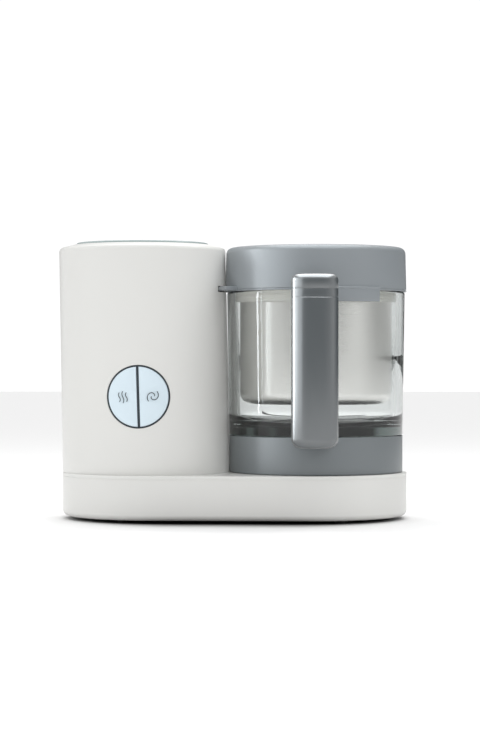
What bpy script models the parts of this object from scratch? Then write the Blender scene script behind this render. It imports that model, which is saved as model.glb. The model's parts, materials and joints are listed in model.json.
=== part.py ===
"""Baby food maker: a steam tower and a glass blending bowl side by side on one low base.

Run with: blender --background --python part.py
Metres, +Z up, +X from the tower towards the bowl, -Y towards the handle and the buttons.
The shapes are laid out from the middle of the base; FRAME_SHIFT then puts the model's own
origin at the bottom centre of its box.
"""

import math

import bmesh
import bpy

# Clearances
GAP = 0.0003            # between pieces that touch
RUNNING_GAP = 0.0006    # between pieces that turn or slide past each other
LIFT_CLEARANCE = 0.0009  # from the tower to the bowl and lid that lift straight up beside it
LAP = 0.0005            # how far shapes that are joined run into each other
THROUGH = 0.001         # how far a cutter runs past the face it opens
CHAMFER = 0.0006        # small broken edges of turned pieces

# Roundness
LARGE_STEPS = 32
MEDIUM_STEPS = 16
SMALL_STEPS = 12
BUTTON_STEPS = 40
CREASE = math.radians(35)

# Base
FOOT_HEIGHT = 0.003
FOOT_RADIUS = 0.006
FOOT_INSET = 0.0201     # from the base's edge to a foot's centre
FOOT_ANGLE = math.radians(66)
BASE_MARGIN = 0.0045    # how far the base's round ends stand out round the lid
BASE_HEIGHT = 0.040
BASE_WALL = 0.0028
BASE_FOOT_ROUND = 0.009
BASE_DECK_ROUND = 0.002
COVER_THICKNESS = 0.0026
PILLAR_X = 0.040
PILLAR_Y = 0.060
PILLAR_RADIUS = 0.0042
SCREW_REACH = 0.013     # from the level of the base's underside to a cover screw's tip
SCREW_RADIUS = 0.0015
SCREW_HEAD_RADIUS = 0.0032
SCREW_HEAD_HEIGHT = 0.0014
VENT_LENGTH = 0.034
VENT_WIDTH = 0.003
VENT_PITCH = 0.008
VENT_COUNT = 5
POWER_BOARD = ((-0.026, 0.036), (0.030, 0.070))
RELAY = ((-0.018, 0.042), (0.002, 0.056))
CHOKE = ((0.010, 0.044), (0.024, 0.060))
RELAY_HEIGHT = 0.014
CHOKE_HEIGHT = 0.011
BOARD_STANDOFF = 0.006

# Bowl: ring, glass and neck
BOWL_DRAFT = 0.002      # how much wider the bowl is at its shoulder than at its ring
SHOULDER_STEP = 0.0015  # from the lid's skirt in to the bowl's shoulder
BOWL_INTO_TOWER = 0.0047  # how far the lid's circle reaches into the tower's
RING_HEIGHT = 0.0337
RING_WALL = 0.003
RING_WEB = 0.003
RING_WEB_DEPTH = 0.007  # from the ring's top edge down to the web's underside
GASKET_THICKNESS = 0.0014
GLASS_HEIGHT = 0.1313   # from the ring's top edge to the shoulder
GLASS_DRAFT = 0.0006    # how much wider the bowl is inside at its mouth than at its floor
GLASS_FLOOR = 0.010
GLASS_FLOOR_ROUND = 0.009
NECK_HEIGHT = 0.0177
NECK_WALL = 0.0033
GASKET_INSET = 0.004    # from the ring's seat to the gasket's outer edge
GASKET_WIDTH = 0.012

# Lid
LID_ROOM = 0.0024       # between the glass's neck and the lid's skirt
LID_DRAFT = 0.0009
LID_HEIGHT = 0.041
LID_WALL = 0.0026
LID_EDGE_ROUND = 0.004
LID_DISC_RADIUS = 0.045
LID_DISC_RISE = 0.0006
LID_ABOVE_SHOULDER = 0.0004
LID_SEAL_HEIGHT = 0.0026
LID_SEAL_INSET = 0.0012   # from the skirt's inner face to the seal
LINER_INSET = 0.0035      # from the skirt's inner face to the liner
LINER_WALL = 0.0025
LINER_FOOT = 0.004        # width of the liner's foot inside its wall
INLET_RADIUS = 0.0034
TAB_DROP = 0.0104       # how far the lock tab hangs below the skirt
TAB_LAP = 0.0025        # how far it laps over the skirt
TAB_THICKNESS = 0.0019
TAB_START = math.radians(283)
TAB_END = math.radians(313.5)
LUG_START = math.radians(202.5)
LUG_END = math.radians(212)
LUG_REACH = 0.0120      # how far the safety lug stands out of the skirt
LUG_LOW = 0.0006        # above the skirt's lower edge
LUG_THICKNESS = 0.0035

# Tower
TOWER_MARGIN = 0.0103   # how far the base's round end stands out round the tower
TOWER_DRAFT = 0.0006
TOWER_LEAN = 0.0042     # how far the top's centre stands left of the bottom's
TOWER_WALL = 0.0028
TOWER_EDGE_ROUND = 0.003
TOWER_BELOW_LID = 0.0007  # the tower's rim below the lid's top
TOWER_STEPS = 40
TOWER_TOP_PLATE = 0.003
PLATE_INSET = 0.003     # from the wall's inner face to the plate inside the rim
PLATE_MARGIN = 0.001    # between the plate and the wall beside the bowl
PLUG_MARGIN = 0.004     # from the tank lid's plug to the plate's mouth
SLOT_START = math.radians(-23)
SLOT_END = math.radians(-6)
SLOT_MARGIN = 0.0012    # round the safety lug
SLOT_DEPTH = 0.008      # behind the tower's surface
SWITCH_DEPTH = 0.005    # of the safety switch behind the slot
SWITCH_BEHIND = 0.003   # from the wall's inner face to the safety switch

# Tank lid and its hinge
TANK_RIM = 0.0156       # from the tower's edge in to the tank lid
TANK_LID_RISE = 0.005   # above the tower's rim
TANK_LID_THICKNESS = 0.0072
TANK_LID_MARGIN = 0.002
TANK_PLUG_ROOM = 0.0009  # between the plug's seal and the boiler's wall
TANK_PLUG_DEPTH = 0.0065
TANK_SEAL_WIDTH = 0.0022
HINGE_BEHIND_LID = 0.0008
HINGE_RISE = 0.0022     # above the tower's rim
HINGE_PIN_RADIUS = 0.0015
HINGE_KNUCKLE_RADIUS = 0.0032
HINGE_KNUCKLE_WIDTH = 0.024
HINGE_EAR_WIDTH = 0.005
HINGE_EAR_HALF = 0.0026
HINGE_TONGUE = 0.010
NOTCH_MARGIN = 0.002
TANK_EDGE_ROUND = 0.0016

# Boiler
BOILER_RADIUS = 0.045
BOILER_WALL = 0.0016
BOILER_DEPTH = 0.088
BOILER_DROP = 0.011     # from the tower's rim down to the boiler's
BOILER_ROUND = 0.006
THERMOSTAT_RADIUS = 0.011
THERMOSTAT_HEIGHT = 0.008
BOILER_FLANGE = 0.005
BOILER_SEAL_HEIGHT = 0.002
HEATER_MAJOR_RADIUS = 0.031
HEATER_TUBE_RADIUS = 0.0034
STEAM_PIPE_RADIUS = 0.0028
NOZZLE_RADIUS = 0.0045
NOZZLE_BORE = 0.0024
NOZZLE_ANGLE = math.radians(12)
NOZZLE_DROP = 0.028     # below the tower's rim
NOZZLE_DEPTH = 0.012    # from the tower's outer face to the nozzle's inner end
NOZZLE_SUNK = 0.0012    # from the tower's outer face to the nozzle's outer end
NOZZLE_FLANGE = 0.002

# Motor and drive
MOTOR_OFFSET = 0.011    # from the tower's axis at the deck towards the bowl
MOTOR_RADIUS = 0.032
MOTOR_HEIGHT = 0.061
MOTOR_BOSS_RADIUS = 0.010
MOTOR_BOSS_DEPTH = 0.007
MOTOR_BOSS_ROOM = 0.002
MOTOR_ROUND = 0.004
SHAFT_IN_MOTOR = 0.014
SHAFT_BELOW_PULLEY = 0.001
MOTOR_SHAFT_RADIUS = 0.003
PULLEY_LOW_Z = 0.014
BELT_WIDTH = 0.008
BELT_THICKNESS = 0.0016
PULLEY_FLANGE = 0.0012
MOTOR_PULLEY_RADIUS = 0.0085
DRIVE_RATIO = 3         # turns of the motor for one turn of the bowl's drive
SPINDLE_RADIUS = 0.004
BOSS_RADIUS = 0.030
BOSS_HEIGHT = 0.006
BUSH_RADIUS = 0.009
BUSH_FLANGE = 0.0012
BUSH_FLANGE_WIDTH = 0.003
BUSH_BELOW_DECK = 0.006   # under the deck's plate
COUPLING_RADIUS = 0.012
COUPLING_PLATE = 0.0034
DOG_HEIGHT = 0.005
DOG_SPAN = math.radians(50)
DOG_COUNT = 3
DOG_INNER_MARGIN = 0.0014
DOG_OUTER_MARGIN = 0.0006
DOG_END_ROOM = 0.0005

# Bowl bearing and blade
BEARING_RADIUS = 0.0107
BEARING_FLANGE_RADIUS = 0.014
BEARING_FLANGE = 0.0017
LOCK_NUT_RADIUS = 0.018
LOCK_NUT_HEIGHT = 0.0055
HUB_RADIUS = 0.0085
HUB_HEIGHT = 0.0165
HUB_FOOT = 0.0016       # height of the flange under the blade
HUB_FOOT_WIDTH = 0.003
HUB_SHOULDER = 0.004    # from the blade up to the hub's taper
HUB_CROWN = 0.0035
SPINDLE_BELOW_HUB_TOP = 0.002
HUB_ROOF = 0.0017
PLATE_WIDTH = 0.005     # of the blade's round plate outside the hub
BLADE_MARGIN = 0.0166   # from the blade's tips to the glass
BLADE_THICKNESS = 0.0016
BLADE_WIDTH = 0.015
BLADE_RISE_HIGH = 0.0085
BLADE_RISE_LOW = 0.0015
BLADE_SWEEP = math.radians(26)
BLADE_TURN = math.radians(190)

# Basket
BASKET_RADIUS = 0.070
BASKET_WALL = 0.0012
BASKET_IN_NECK = 0.0055  # how far the basket's edge stands above the glass's shoulder
BASKET_FLOOR_ROUND = 0.009
BASKET_ABOVE_HUB = 0.0017
BAND_HEIGHT = 0.0135    # cream rim below the glass's neck
RIM_THICKNESS = 0.0040
RIM_FLANGE = 0.002
RIM_IN_NECK = 0.0035    # how far the counted height of the band runs up into the neck
BASKET_SLOT_START = 0.018
BASKET_SLOT_MARGIN = 0.011  # from the slots' outer ends to the floor's round
BASKET_SLOTS = 10
BASKET_SLOT_WIDTH = 0.005

# Handle
HANDLE_WIDTH = 0.0415
HANDLE_DEPTH = 0.022
HANDLE_REACH = 0.0205   # finger room from the glass to the grip
HANDLE_CORNER = 0.0075
HANDLE_LOW = 0.0083     # grip's lower end below the ring's top edge
HANDLE_HIGH = 0.0002    # grip's seam above the glass's shoulder
HANDLE_CAP_HEIGHT = 0.0128
HANDLE_CAP_ROUND = 0.004
HANDLE_SCREW_LENGTH = 0.029
HANDLE_SCREW_SUNK = 0.004
ARM_WIDTH = 0.024
ARM_HEIGHT = 0.017
LOWER_ARM_HEIGHT = 0.0065
SADDLE_THICKNESS = 0.0032
SADDLE_SPAN = math.radians(24)
SADDLE_GAP = 0.0005
UPPER_ARM_DROP = 0.0025   # from the glass's shoulder to the upper arm
LOWER_ARM_RISE = 0.0008   # from the grip's lower end to the lower arm

# Buttons
BUTTON_RADIUS = 0.0282
BUTTON_RING = 0.0011
BUTTON_SPLIT = 0.0018
BUTTON_Z = 0.1133
BUTTON_TILT = math.radians(-1.7)   # the split line leans to the left
BUTTON_PROUD = 0.0004
BUTTON_DEPTH = 0.014    # of the bezel, from the tower's front
BEZEL_BACK = 0.002
BEZEL_PROUD = 0.0002
BUTTON_SKIRT = 0.0085   # from the tower's front to a button's back
BUTTON_STOCK = 0.004    # extra length in front, cut to the tower's curve
SWITCH_GAP = 0.0024     # from a pressed-out plunger to its switch
CONTROL_BOARD_INSET = 0.004
PLUNGER_RADIUS = 0.002
PLUNGER_LENGTH = 0.0085
SWITCH_SIZE = 0.006
BOARD_THICKNESS = 0.0016

# Mains inlet
GLAND_X = -0.052
GLAND_Z = 0.023
GLAND_RADIUS = 0.0065
GLAND_FLANGE_RADIUS = 0.009
GLAND_STANDS_OUT = 0.005
GLAND_BORE = 0.0039
GLAND_BORE_DEPTH = 0.010
GLAND_INSIDE = 0.006
GLAND_FLANGE = 0.002

# Radii that follow from the basket's and the walls round it
GLASS_INNER_LOW = BASKET_RADIUS + GAP + RIM_THICKNESS + GAP
GLASS_INNER_HIGH = GLASS_INNER_LOW + GLASS_DRAFT
NECK_RADIUS = GLASS_INNER_HIGH + NECK_WALL
LID_SKIRT_RADIUS = NECK_RADIUS + LID_ROOM + LID_WALL
LID_TOP_RADIUS = LID_SKIRT_RADIUS - LID_DRAFT
BOWL_RADIUS_HIGH = LID_SKIRT_RADIUS - SHOULDER_STEP
BOWL_RADIUS_LOW = BOWL_RADIUS_HIGH - BOWL_DRAFT
BLADE_REACH = GLASS_INNER_LOW - BLADE_MARGIN
BASKET_SLOT_END = BASKET_RADIUS - BASKET_FLOOR_ROUND - BASKET_SLOT_MARGIN
BASE_END_RADIUS = LID_SKIRT_RADIUS + BASE_MARGIN
TOWER_RADIUS_LOW = BASE_END_RADIUS - TOWER_MARGIN
TOWER_RADIUS_HIGH = TOWER_RADIUS_LOW - TOWER_DRAFT
TANK_LID_RADIUS = TOWER_RADIUS_HIGH - TANK_RIM
TANK_PLUG_RADIUS = BOILER_RADIUS - BOILER_WALL - TANK_PLUG_ROOM - TANK_SEAL_WIDTH - GAP
HINGE_Y = TANK_LID_RADIUS + HINGE_BEHIND_LID + HINGE_KNUCKLE_RADIUS
AXES_APART = TOWER_RADIUS_LOW + LID_SKIRT_RADIUS - BOWL_INTO_TOWER
BASE_END_X = (TOWER_RADIUS_LOW + AXES_APART + LID_SKIRT_RADIUS + GAP) / 2 - BASE_END_RADIUS

# Heights and places that follow from the sizes above
DECK_Z = FOOT_HEIGHT + BASE_HEIGHT
RING_Z = DECK_Z + GAP
RING_TOP_Z = RING_Z + RING_HEIGHT
WEB_Z = RING_TOP_Z - RING_WEB_DEPTH
GASKET_Z = WEB_Z + RING_WEB + GAP
GLASS_Z = GASKET_Z + GASKET_THICKNESS + GAP
FLOOR_Z = GLASS_Z + GLASS_FLOOR
SHOULDER_Z = RING_TOP_Z + GLASS_HEIGHT
GLASS_TOP_Z = SHOULDER_Z + NECK_HEIGHT
LID_Z = SHOULDER_Z + LID_ABOVE_SHOULDER
LID_TOP_Z = LID_Z + LID_HEIGHT
RIM_TOP_Z = GLASS_TOP_Z + GAP + RIM_FLANGE
TOWER_Z = DECK_Z + GAP
TOWER_TOP_Z = LID_TOP_Z - TOWER_BELOW_LID
BOWL_X = BASE_END_X + BASE_END_RADIUS - LID_SKIRT_RADIUS - GAP
TOWER_LOW_X = TOWER_RADIUS_LOW - BASE_END_X - BASE_END_RADIUS
TOWER_HIGH_X = TOWER_LOW_X - TOWER_LEAN
BUTTON_SHARE = (BUTTON_Z - DECK_Z) / (TOWER_TOP_Z - DECK_Z)
BUTTON_X = TOWER_LOW_X - TOWER_LEAN * BUTTON_SHARE
MOTOR_X = TOWER_LOW_X + MOTOR_OFFSET
BELT_GRIP = GAP + BELT_THICKNESS / 2
DRIVE_PULLEY_RADIUS = DRIVE_RATIO * (MOTOR_PULLEY_RADIUS + BELT_GRIP) - BELT_GRIP
HINGE_Z = TOWER_TOP_Z + HINGE_RISE
BOILER_TOP_Z = TOWER_TOP_Z - BOILER_DROP
HANDLE_BACK_Y = -BOWL_RADIUS_HIGH - HANDLE_REACH
HANDLE_FRONT_Y = HANDLE_BACK_Y - HANDLE_DEPTH
BASE_BACK_Y = BASE_END_RADIUS
COUPLING_Z = DECK_Z + BOSS_HEIGHT + BUSH_FLANGE + 2 * GAP
DRIVEN_Z = COUPLING_Z + COUPLING_PLATE + DOG_HEIGHT + DOG_END_ROOM
BEARING_Z = WEB_Z - LOCK_NUT_HEIGHT - GAP
HUB_Z = FLOOR_Z + GAP + BEARING_FLANGE + RUNNING_GAP
HUB_TOP_Z = HUB_Z + HUB_HEIGHT
BASKET_Z = HUB_TOP_Z + BASKET_ABOVE_HUB
GLAND_END_Y = BASE_BACK_Y + GLAND_STANDS_OUT
FRAME_SHIFT = (
    (TOWER_RADIUS_HIGH - TOWER_HIGH_X - BASE_END_X - BASE_END_RADIUS) / 2,
    -(HANDLE_FRONT_Y + GLAND_END_Y) / 2,
    0,
)


def material(name, colour, roughness, metallic=0.0):
    """A Principled material with one colour."""
    made = bpy.data.materials.new(name)
    made.use_nodes = True
    shader = made.node_tree.nodes["Principled BSDF"]
    shader.inputs["Base Color"].default_value = (*colour, 1)
    shader.inputs["Roughness"].default_value = roughness
    shader.inputs["Metallic"].default_value = metallic
    return made


def empty(name, location, parent=None):
    """A locating point that pieces hang from."""
    point = bpy.data.objects.new(name, None)
    point.location = location
    point.parent = parent
    bpy.context.collection.objects.link(point)
    return point


def piece(name, mesh, finish, parent, location=(0, 0, 0), rotation=(0, 0, 0)):
    """Turns a bmesh into an object with its faces outward and its creases sharp."""
    bmesh.ops.remove_doubles(mesh, verts=mesh.verts, dist=1e-7)
    bmesh.ops.recalc_face_normals(mesh, faces=mesh.faces)
    data = bpy.data.meshes.new(name)
    mesh.to_mesh(data)
    mesh.free()
    data.shade_smooth()
    data.set_sharp_from_angle(angle=CREASE)
    data.materials.append(finish)
    made = bpy.data.objects.new(name, data)
    made.location = location
    made.rotation_euler = rotation
    made.parent = parent
    bpy.context.collection.objects.link(made)
    return made


def turned(name, profile, finish, parent, steps=MEDIUM_STEPS, loop=False, **place):
    """A solid turned about its local Z axis; the profile's points are (radius, height).

    A profile that starts and ends on the axis makes a solid; a loop makes a ring.
    """
    mesh = bmesh.new()
    points = [mesh.verts.new((radius, 0, height)) for radius, height in profile]
    edges = [mesh.edges.new(pair) for pair in zip(points, points[1:])]
    if loop:
        edges.append(mesh.edges.new((points[-1], points[0])))
    bmesh.ops.spin(mesh, geom=points + edges, cent=(0, 0, 0), axis=(0, 0, 1),
                   angle=2 * math.pi, steps=steps, use_merge=True)
    return piece(name, mesh, finish, parent, **place)


def cylinder(name, radius, low, high, finish, parent, steps=MEDIUM_STEPS, **place):
    """A plain round solid from low to high along its local Z axis."""
    profile = [(0, low), (radius, low), (radius, high), (0, high)]
    return turned(name, profile, finish, parent, steps=steps, **place)


def tube(name, inner, outer, low, high, finish, parent, steps=MEDIUM_STEPS, **place):
    """A plain round ring from low to high along its local Z axis."""
    profile = [(inner, low), (outer, low), (outer, high), (inner, high)]
    return turned(name, profile, finish, parent, steps=steps, loop=True, **place)


def lofted(name, rings, finish, parent, loop=False, **place):
    """A skin over rings of equally many points, closed by end faces or round on itself."""
    mesh = bmesh.new()
    made = [[mesh.verts.new(point) for point in ring] for ring in rings]
    follow = zip(made, made[1:] + made[:1]) if loop else zip(made, made[1:])
    for one, other in follow:
        for index in range(len(one)):
            after = (index + 1) % len(one)
            mesh.faces.new((one[index], one[after], other[after], other[index]))
    if not loop:
        mesh.faces.new(made[0])
        mesh.faces.new(made[-1])
    return piece(name, mesh, finish, parent, **place)


def prism(name, outline, low, high, finish, parent, **place):
    """An outline in the XY plane extruded from low to high."""
    mesh = bmesh.new()
    face = mesh.faces.new([mesh.verts.new((x, y, low)) for x, y in outline])
    raised = bmesh.ops.extrude_face_region(mesh, geom=[face])["geom"]
    top = [item for item in raised if isinstance(item, bmesh.types.BMVert)]
    bmesh.ops.translate(mesh, verts=top, vec=(0, 0, high - low))
    return piece(name, mesh, finish, parent, **place)


def box(name, low, high, finish, parent, **place):
    """A block between two corners."""
    outline = [(low[0], low[1]), (high[0], low[1]), (high[0], high[1]), (low[0], high[1])]
    return prism(name, outline, low[2], high[2], finish, parent, **place)


def arc(centre, radius, start, end, steps):
    """Points along a circle's arc in the XY plane."""
    turns = [start + (end - start) * step / steps for step in range(steps + 1)]
    return [(centre[0] + radius * math.cos(a), centre[1] + radius * math.sin(a)) for a in turns]


def sector(name, radii, angles, low, high, finish, parent, steps=5, **place):
    """A curved plate: part of a ring between two radii and two angles."""
    outline = arc((0, 0), radii[1], angles[0], angles[1], steps)
    outline += arc((0, 0), radii[0], angles[1], angles[0], steps)
    return prism(name, outline, low, high, finish, parent, **place)


def rounded_rectangle(width, depth, corner, steps=5):
    """A rectangle about the origin with quarter-round corners."""
    points = []
    corners = ((1, 1), (-1, 1), (-1, -1), (1, -1))
    for number, (right, back) in enumerate(corners):
        centre = (right * (width / 2 - corner), back * (depth / 2 - corner))
        start = number * math.pi / 2
        points += arc(centre, corner, start, start + math.pi / 2, steps)
    return points


def stadium(inset, height, steps=16):
    """The base's outline at a height, inset from its edge: two half circles joined."""
    radius = BASE_END_RADIUS - inset
    points = arc((BASE_END_X, 0), radius, -math.pi / 2, math.pi / 2, steps)
    points += arc((-BASE_END_X, 0), radius, math.pi / 2, 3 * math.pi / 2, steps)
    return [(x, y, height) for x, y in points]


def quarter(radius, steps):
    """(inset, rise) pairs of a quarter round, from the flank to the flat."""
    turns = [math.pi / 2 * step / steps for step in range(steps + 1)]
    return [(radius * (1 - math.cos(a)), radius * math.sin(a)) for a in turns]


def boolean(target, operation, *tools):
    """Joins or cuts with hidden tools, in order."""
    for tool in tools:
        tool.hide_render = True
        tool.display_type = "WIRE"
        change = target.modifiers.new(operation.lower(), "BOOLEAN")
        change.operation = operation
        change.solver = "EXACT"
        change.object = tool
    return target


def tower_share(height):
    """How far up the tower a height is, from 0 at the deck to 1 at its rim."""
    return (height - DECK_Z) / (TOWER_TOP_Z - DECK_Z)


def tower_x(height):
    """The tower's centre at a height."""
    return TOWER_LOW_X + (TOWER_HIGH_X - TOWER_LOW_X) * tower_share(height)


def tower_radius(height):
    """The tower's outer radius at a height."""
    return TOWER_RADIUS_LOW + (TOWER_RADIUS_HIGH - TOWER_RADIUS_LOW) * tower_share(height)


def tower_ring(height, inset=0.0):
    """The tower's outline at a height, inset from its surface."""
    points = arc((tower_x(height), 0), tower_radius(height) - inset, 0, 2 * math.pi, TOWER_STEPS)
    return [(x, y, height) for x, y in points[:-1]]


def bowl_clearance(name, extra, finish, parent):
    """The space beside the tower that the bowl and its lid need to lift straight up."""
    room = LIFT_CLEARANCE + extra
    profile = [
        (0, DECK_Z - TOWER_WALL),
        (BOWL_RADIUS_LOW + room, DECK_Z - TOWER_WALL),
        (BOWL_RADIUS_LOW + room, RING_TOP_Z),
        (BOWL_RADIUS_HIGH + room, SHOULDER_Z - 3 * LAP - extra),
        (LID_SKIRT_RADIUS + room, SHOULDER_Z - 2 * LAP - extra),
        (LID_SKIRT_RADIUS + room, LID_TOP_Z + BOILER_DROP),
        (0, LID_TOP_Z + BOILER_DROP),
    ]
    return turned(name, profile, finish, parent, steps=LARGE_STEPS)


def make_base(finish, origin):
    """The hollow base, its screwed cover, feet, mains gland and power board."""
    foot_round = quarter(BASE_FOOT_ROUND, 4)
    deck_round = quarter(BASE_DECK_ROUND, 2)
    inner_top = DECK_Z - BASE_WALL
    rings = [stadium(BASE_WALL + BASE_DECK_ROUND / 2, inner_top)]
    rings += [stadium(BASE_WALL, inner_top - BASE_DECK_ROUND / 2)]
    rings += [stadium(BASE_WALL + inset, FOOT_HEIGHT + BASE_FOOT_ROUND - rise)
              for inset, rise in foot_round]
    rings += [stadium(inset, FOOT_HEIGHT + BASE_FOOT_ROUND - rise)
              for inset, rise in reversed(foot_round)]
    rings += [stadium(inset, DECK_Z - BASE_DECK_ROUND + rise) for inset, rise in deck_round]
    shell = lofted("base_shell", rings, finish["white"], origin)

    cover_low = FOOT_HEIGHT + GAP
    cover_high = cover_low + COVER_THICKNESS
    cover_inset = BASE_FOOT_ROUND + BASE_WALL + GAP
    outline = [(x, y) for x, y, _ in stadium(cover_inset, 0, steps=14)]
    cover = prism("bottom_cover", outline, cover_low, cover_high, finish["dark"], origin)

    corners = [(side, back) for side in (-1, 1) for back in (-1, 1)]
    for number, (side, back) in enumerate(corners, 1):
        place = (side * PILLAR_X, back * PILLAR_Y, 0)
        pillar = cylinder(f"pillar_{number}", PILLAR_RADIUS, cover_high + GAP, inner_top + LAP,
                          finish["white"], origin, steps=SMALL_STEPS, location=place)
        hole = cylinder(f"pillar_hole_{number}", SCREW_RADIUS + GAP, 0,
                        FOOT_HEIGHT + SCREW_REACH + THROUGH,
                        finish["white"], origin, steps=SMALL_STEPS, location=place)
        sink = cylinder(f"screw_sink_{number}", SCREW_HEAD_RADIUS + GAP, 0,
                        cover_low + SCREW_HEAD_HEIGHT + GAP, finish["dark"], origin,
                        steps=SMALL_STEPS, location=place)
        boolean(shell, "UNION", pillar)
        boolean(shell, "DIFFERENCE", hole)
        boolean(cover, "DIFFERENCE", hole, sink)
        neck_z = cover_low + SCREW_HEAD_HEIGHT
        screw = [(0, cover_low), (SCREW_HEAD_RADIUS, cover_low), (SCREW_HEAD_RADIUS, neck_z),
                 (SCREW_RADIUS, neck_z), (SCREW_RADIUS, FOOT_HEIGHT + SCREW_REACH - LAP),
                 (0, FOOT_HEIGHT + SCREW_REACH)]
        turned(f"cover_screw_{number}", screw, finish["steel"], origin, steps=SMALL_STEPS,
               location=place)
        reach = BASE_END_RADIUS - FOOT_INSET
        foot_place = (side * (BASE_END_X + reach * math.cos(FOOT_ANGLE)),
                      back * reach * math.sin(FOOT_ANGLE), 0)
        foot = [(0, 0), (FOOT_RADIUS - CHAMFER, 0), (FOOT_RADIUS, CHAMFER),
                (FOOT_RADIUS, FOOT_HEIGHT), (0, FOOT_HEIGHT)]
        turned(f"foot_{number}", foot, finish["rubber"], origin, steps=16, location=foot_place)

    for number in range(VENT_COUNT):
        y = (number - (VENT_COUNT - 1) / 2) * VENT_PITCH
        vent = box(f"vent_{number}", (MOTOR_X - VENT_LENGTH / 2, y - VENT_WIDTH / 2, 0),
                   (MOTOR_X + VENT_LENGTH / 2, y + VENT_WIDTH / 2, cover_high + THROUGH),
                   finish["dark"], origin)
        boolean(cover, "DIFFERENCE", vent)

    boss = cylinder("deck_boss", BOSS_RADIUS, inner_top + LAP, DECK_Z + BOSS_HEIGHT,
                    finish["white"], origin, steps=MEDIUM_STEPS, location=(BOWL_X, 0, 0))
    bush_hole = cylinder("bush_hole", BUSH_RADIUS + GAP, inner_top - BUSH_BELOW_DECK - THROUGH,
                         DECK_Z + BOSS_HEIGHT + THROUGH, finish["white"], origin,
                         location=(BOWL_X, 0, 0))
    motor_hole = cylinder("motor_hole", MOTOR_BOSS_RADIUS + MOTOR_BOSS_ROOM,
                          inner_top - THROUGH, DECK_Z + THROUGH, finish["white"], origin,
                          location=(MOTOR_X, 0, 0))
    gland_hole = cylinder("gland_hole", GLAND_RADIUS + GAP, -BASE_END_RADIUS / 4,
                          BASE_END_RADIUS / 4, finish["white"], origin,
                          location=(GLAND_X, BASE_BACK_Y, GLAND_Z),
                          rotation=(-math.pi / 2, 0, 0))
    boolean(shell, "DIFFERENCE", gland_hole, motor_hole)
    boolean(shell, "UNION", boss)
    boolean(shell, "DIFFERENCE", bush_hole)

    gland = [
        (0, -BASE_WALL - GLAND_INSIDE), (GLAND_RADIUS, -BASE_WALL - GLAND_INSIDE),
        (GLAND_RADIUS, GAP), (GLAND_FLANGE_RADIUS, GAP), (GLAND_FLANGE_RADIUS, GLAND_FLANGE),
        (GLAND_RADIUS, GLAND_FLANGE + CHAMFER), (GLAND_RADIUS - CHAMFER, GLAND_STANDS_OUT),
        (GLAND_BORE, GLAND_STANDS_OUT), (GLAND_BORE, GLAND_STANDS_OUT - GLAND_BORE_DEPTH),
        (0, GLAND_STANDS_OUT - GLAND_BORE_DEPTH),
    ]
    turned("cable_gland", gland, finish["rubber"], origin, steps=16,
           location=(GLAND_X, BASE_BACK_Y, GLAND_Z), rotation=(-math.pi / 2, 0, 0))

    board_z = cover_high + BOARD_STANDOFF
    board_top = board_z + BOARD_THICKNESS
    on_board = board_top - LAP
    board = box("power_board", (*POWER_BOARD[0], board_z), (*POWER_BOARD[1], board_top),
                finish["board"], origin)
    relay = box("relay", (*RELAY[0], on_board), (*RELAY[1], board_z + RELAY_HEIGHT),
                finish["dark"], origin)
    coil = box("choke", (*CHOKE[0], on_board), (*CHOKE[1], board_z + CHOKE_HEIGHT),
               finish["dark"], origin)
    boolean(board, "UNION", relay, coil)


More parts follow.
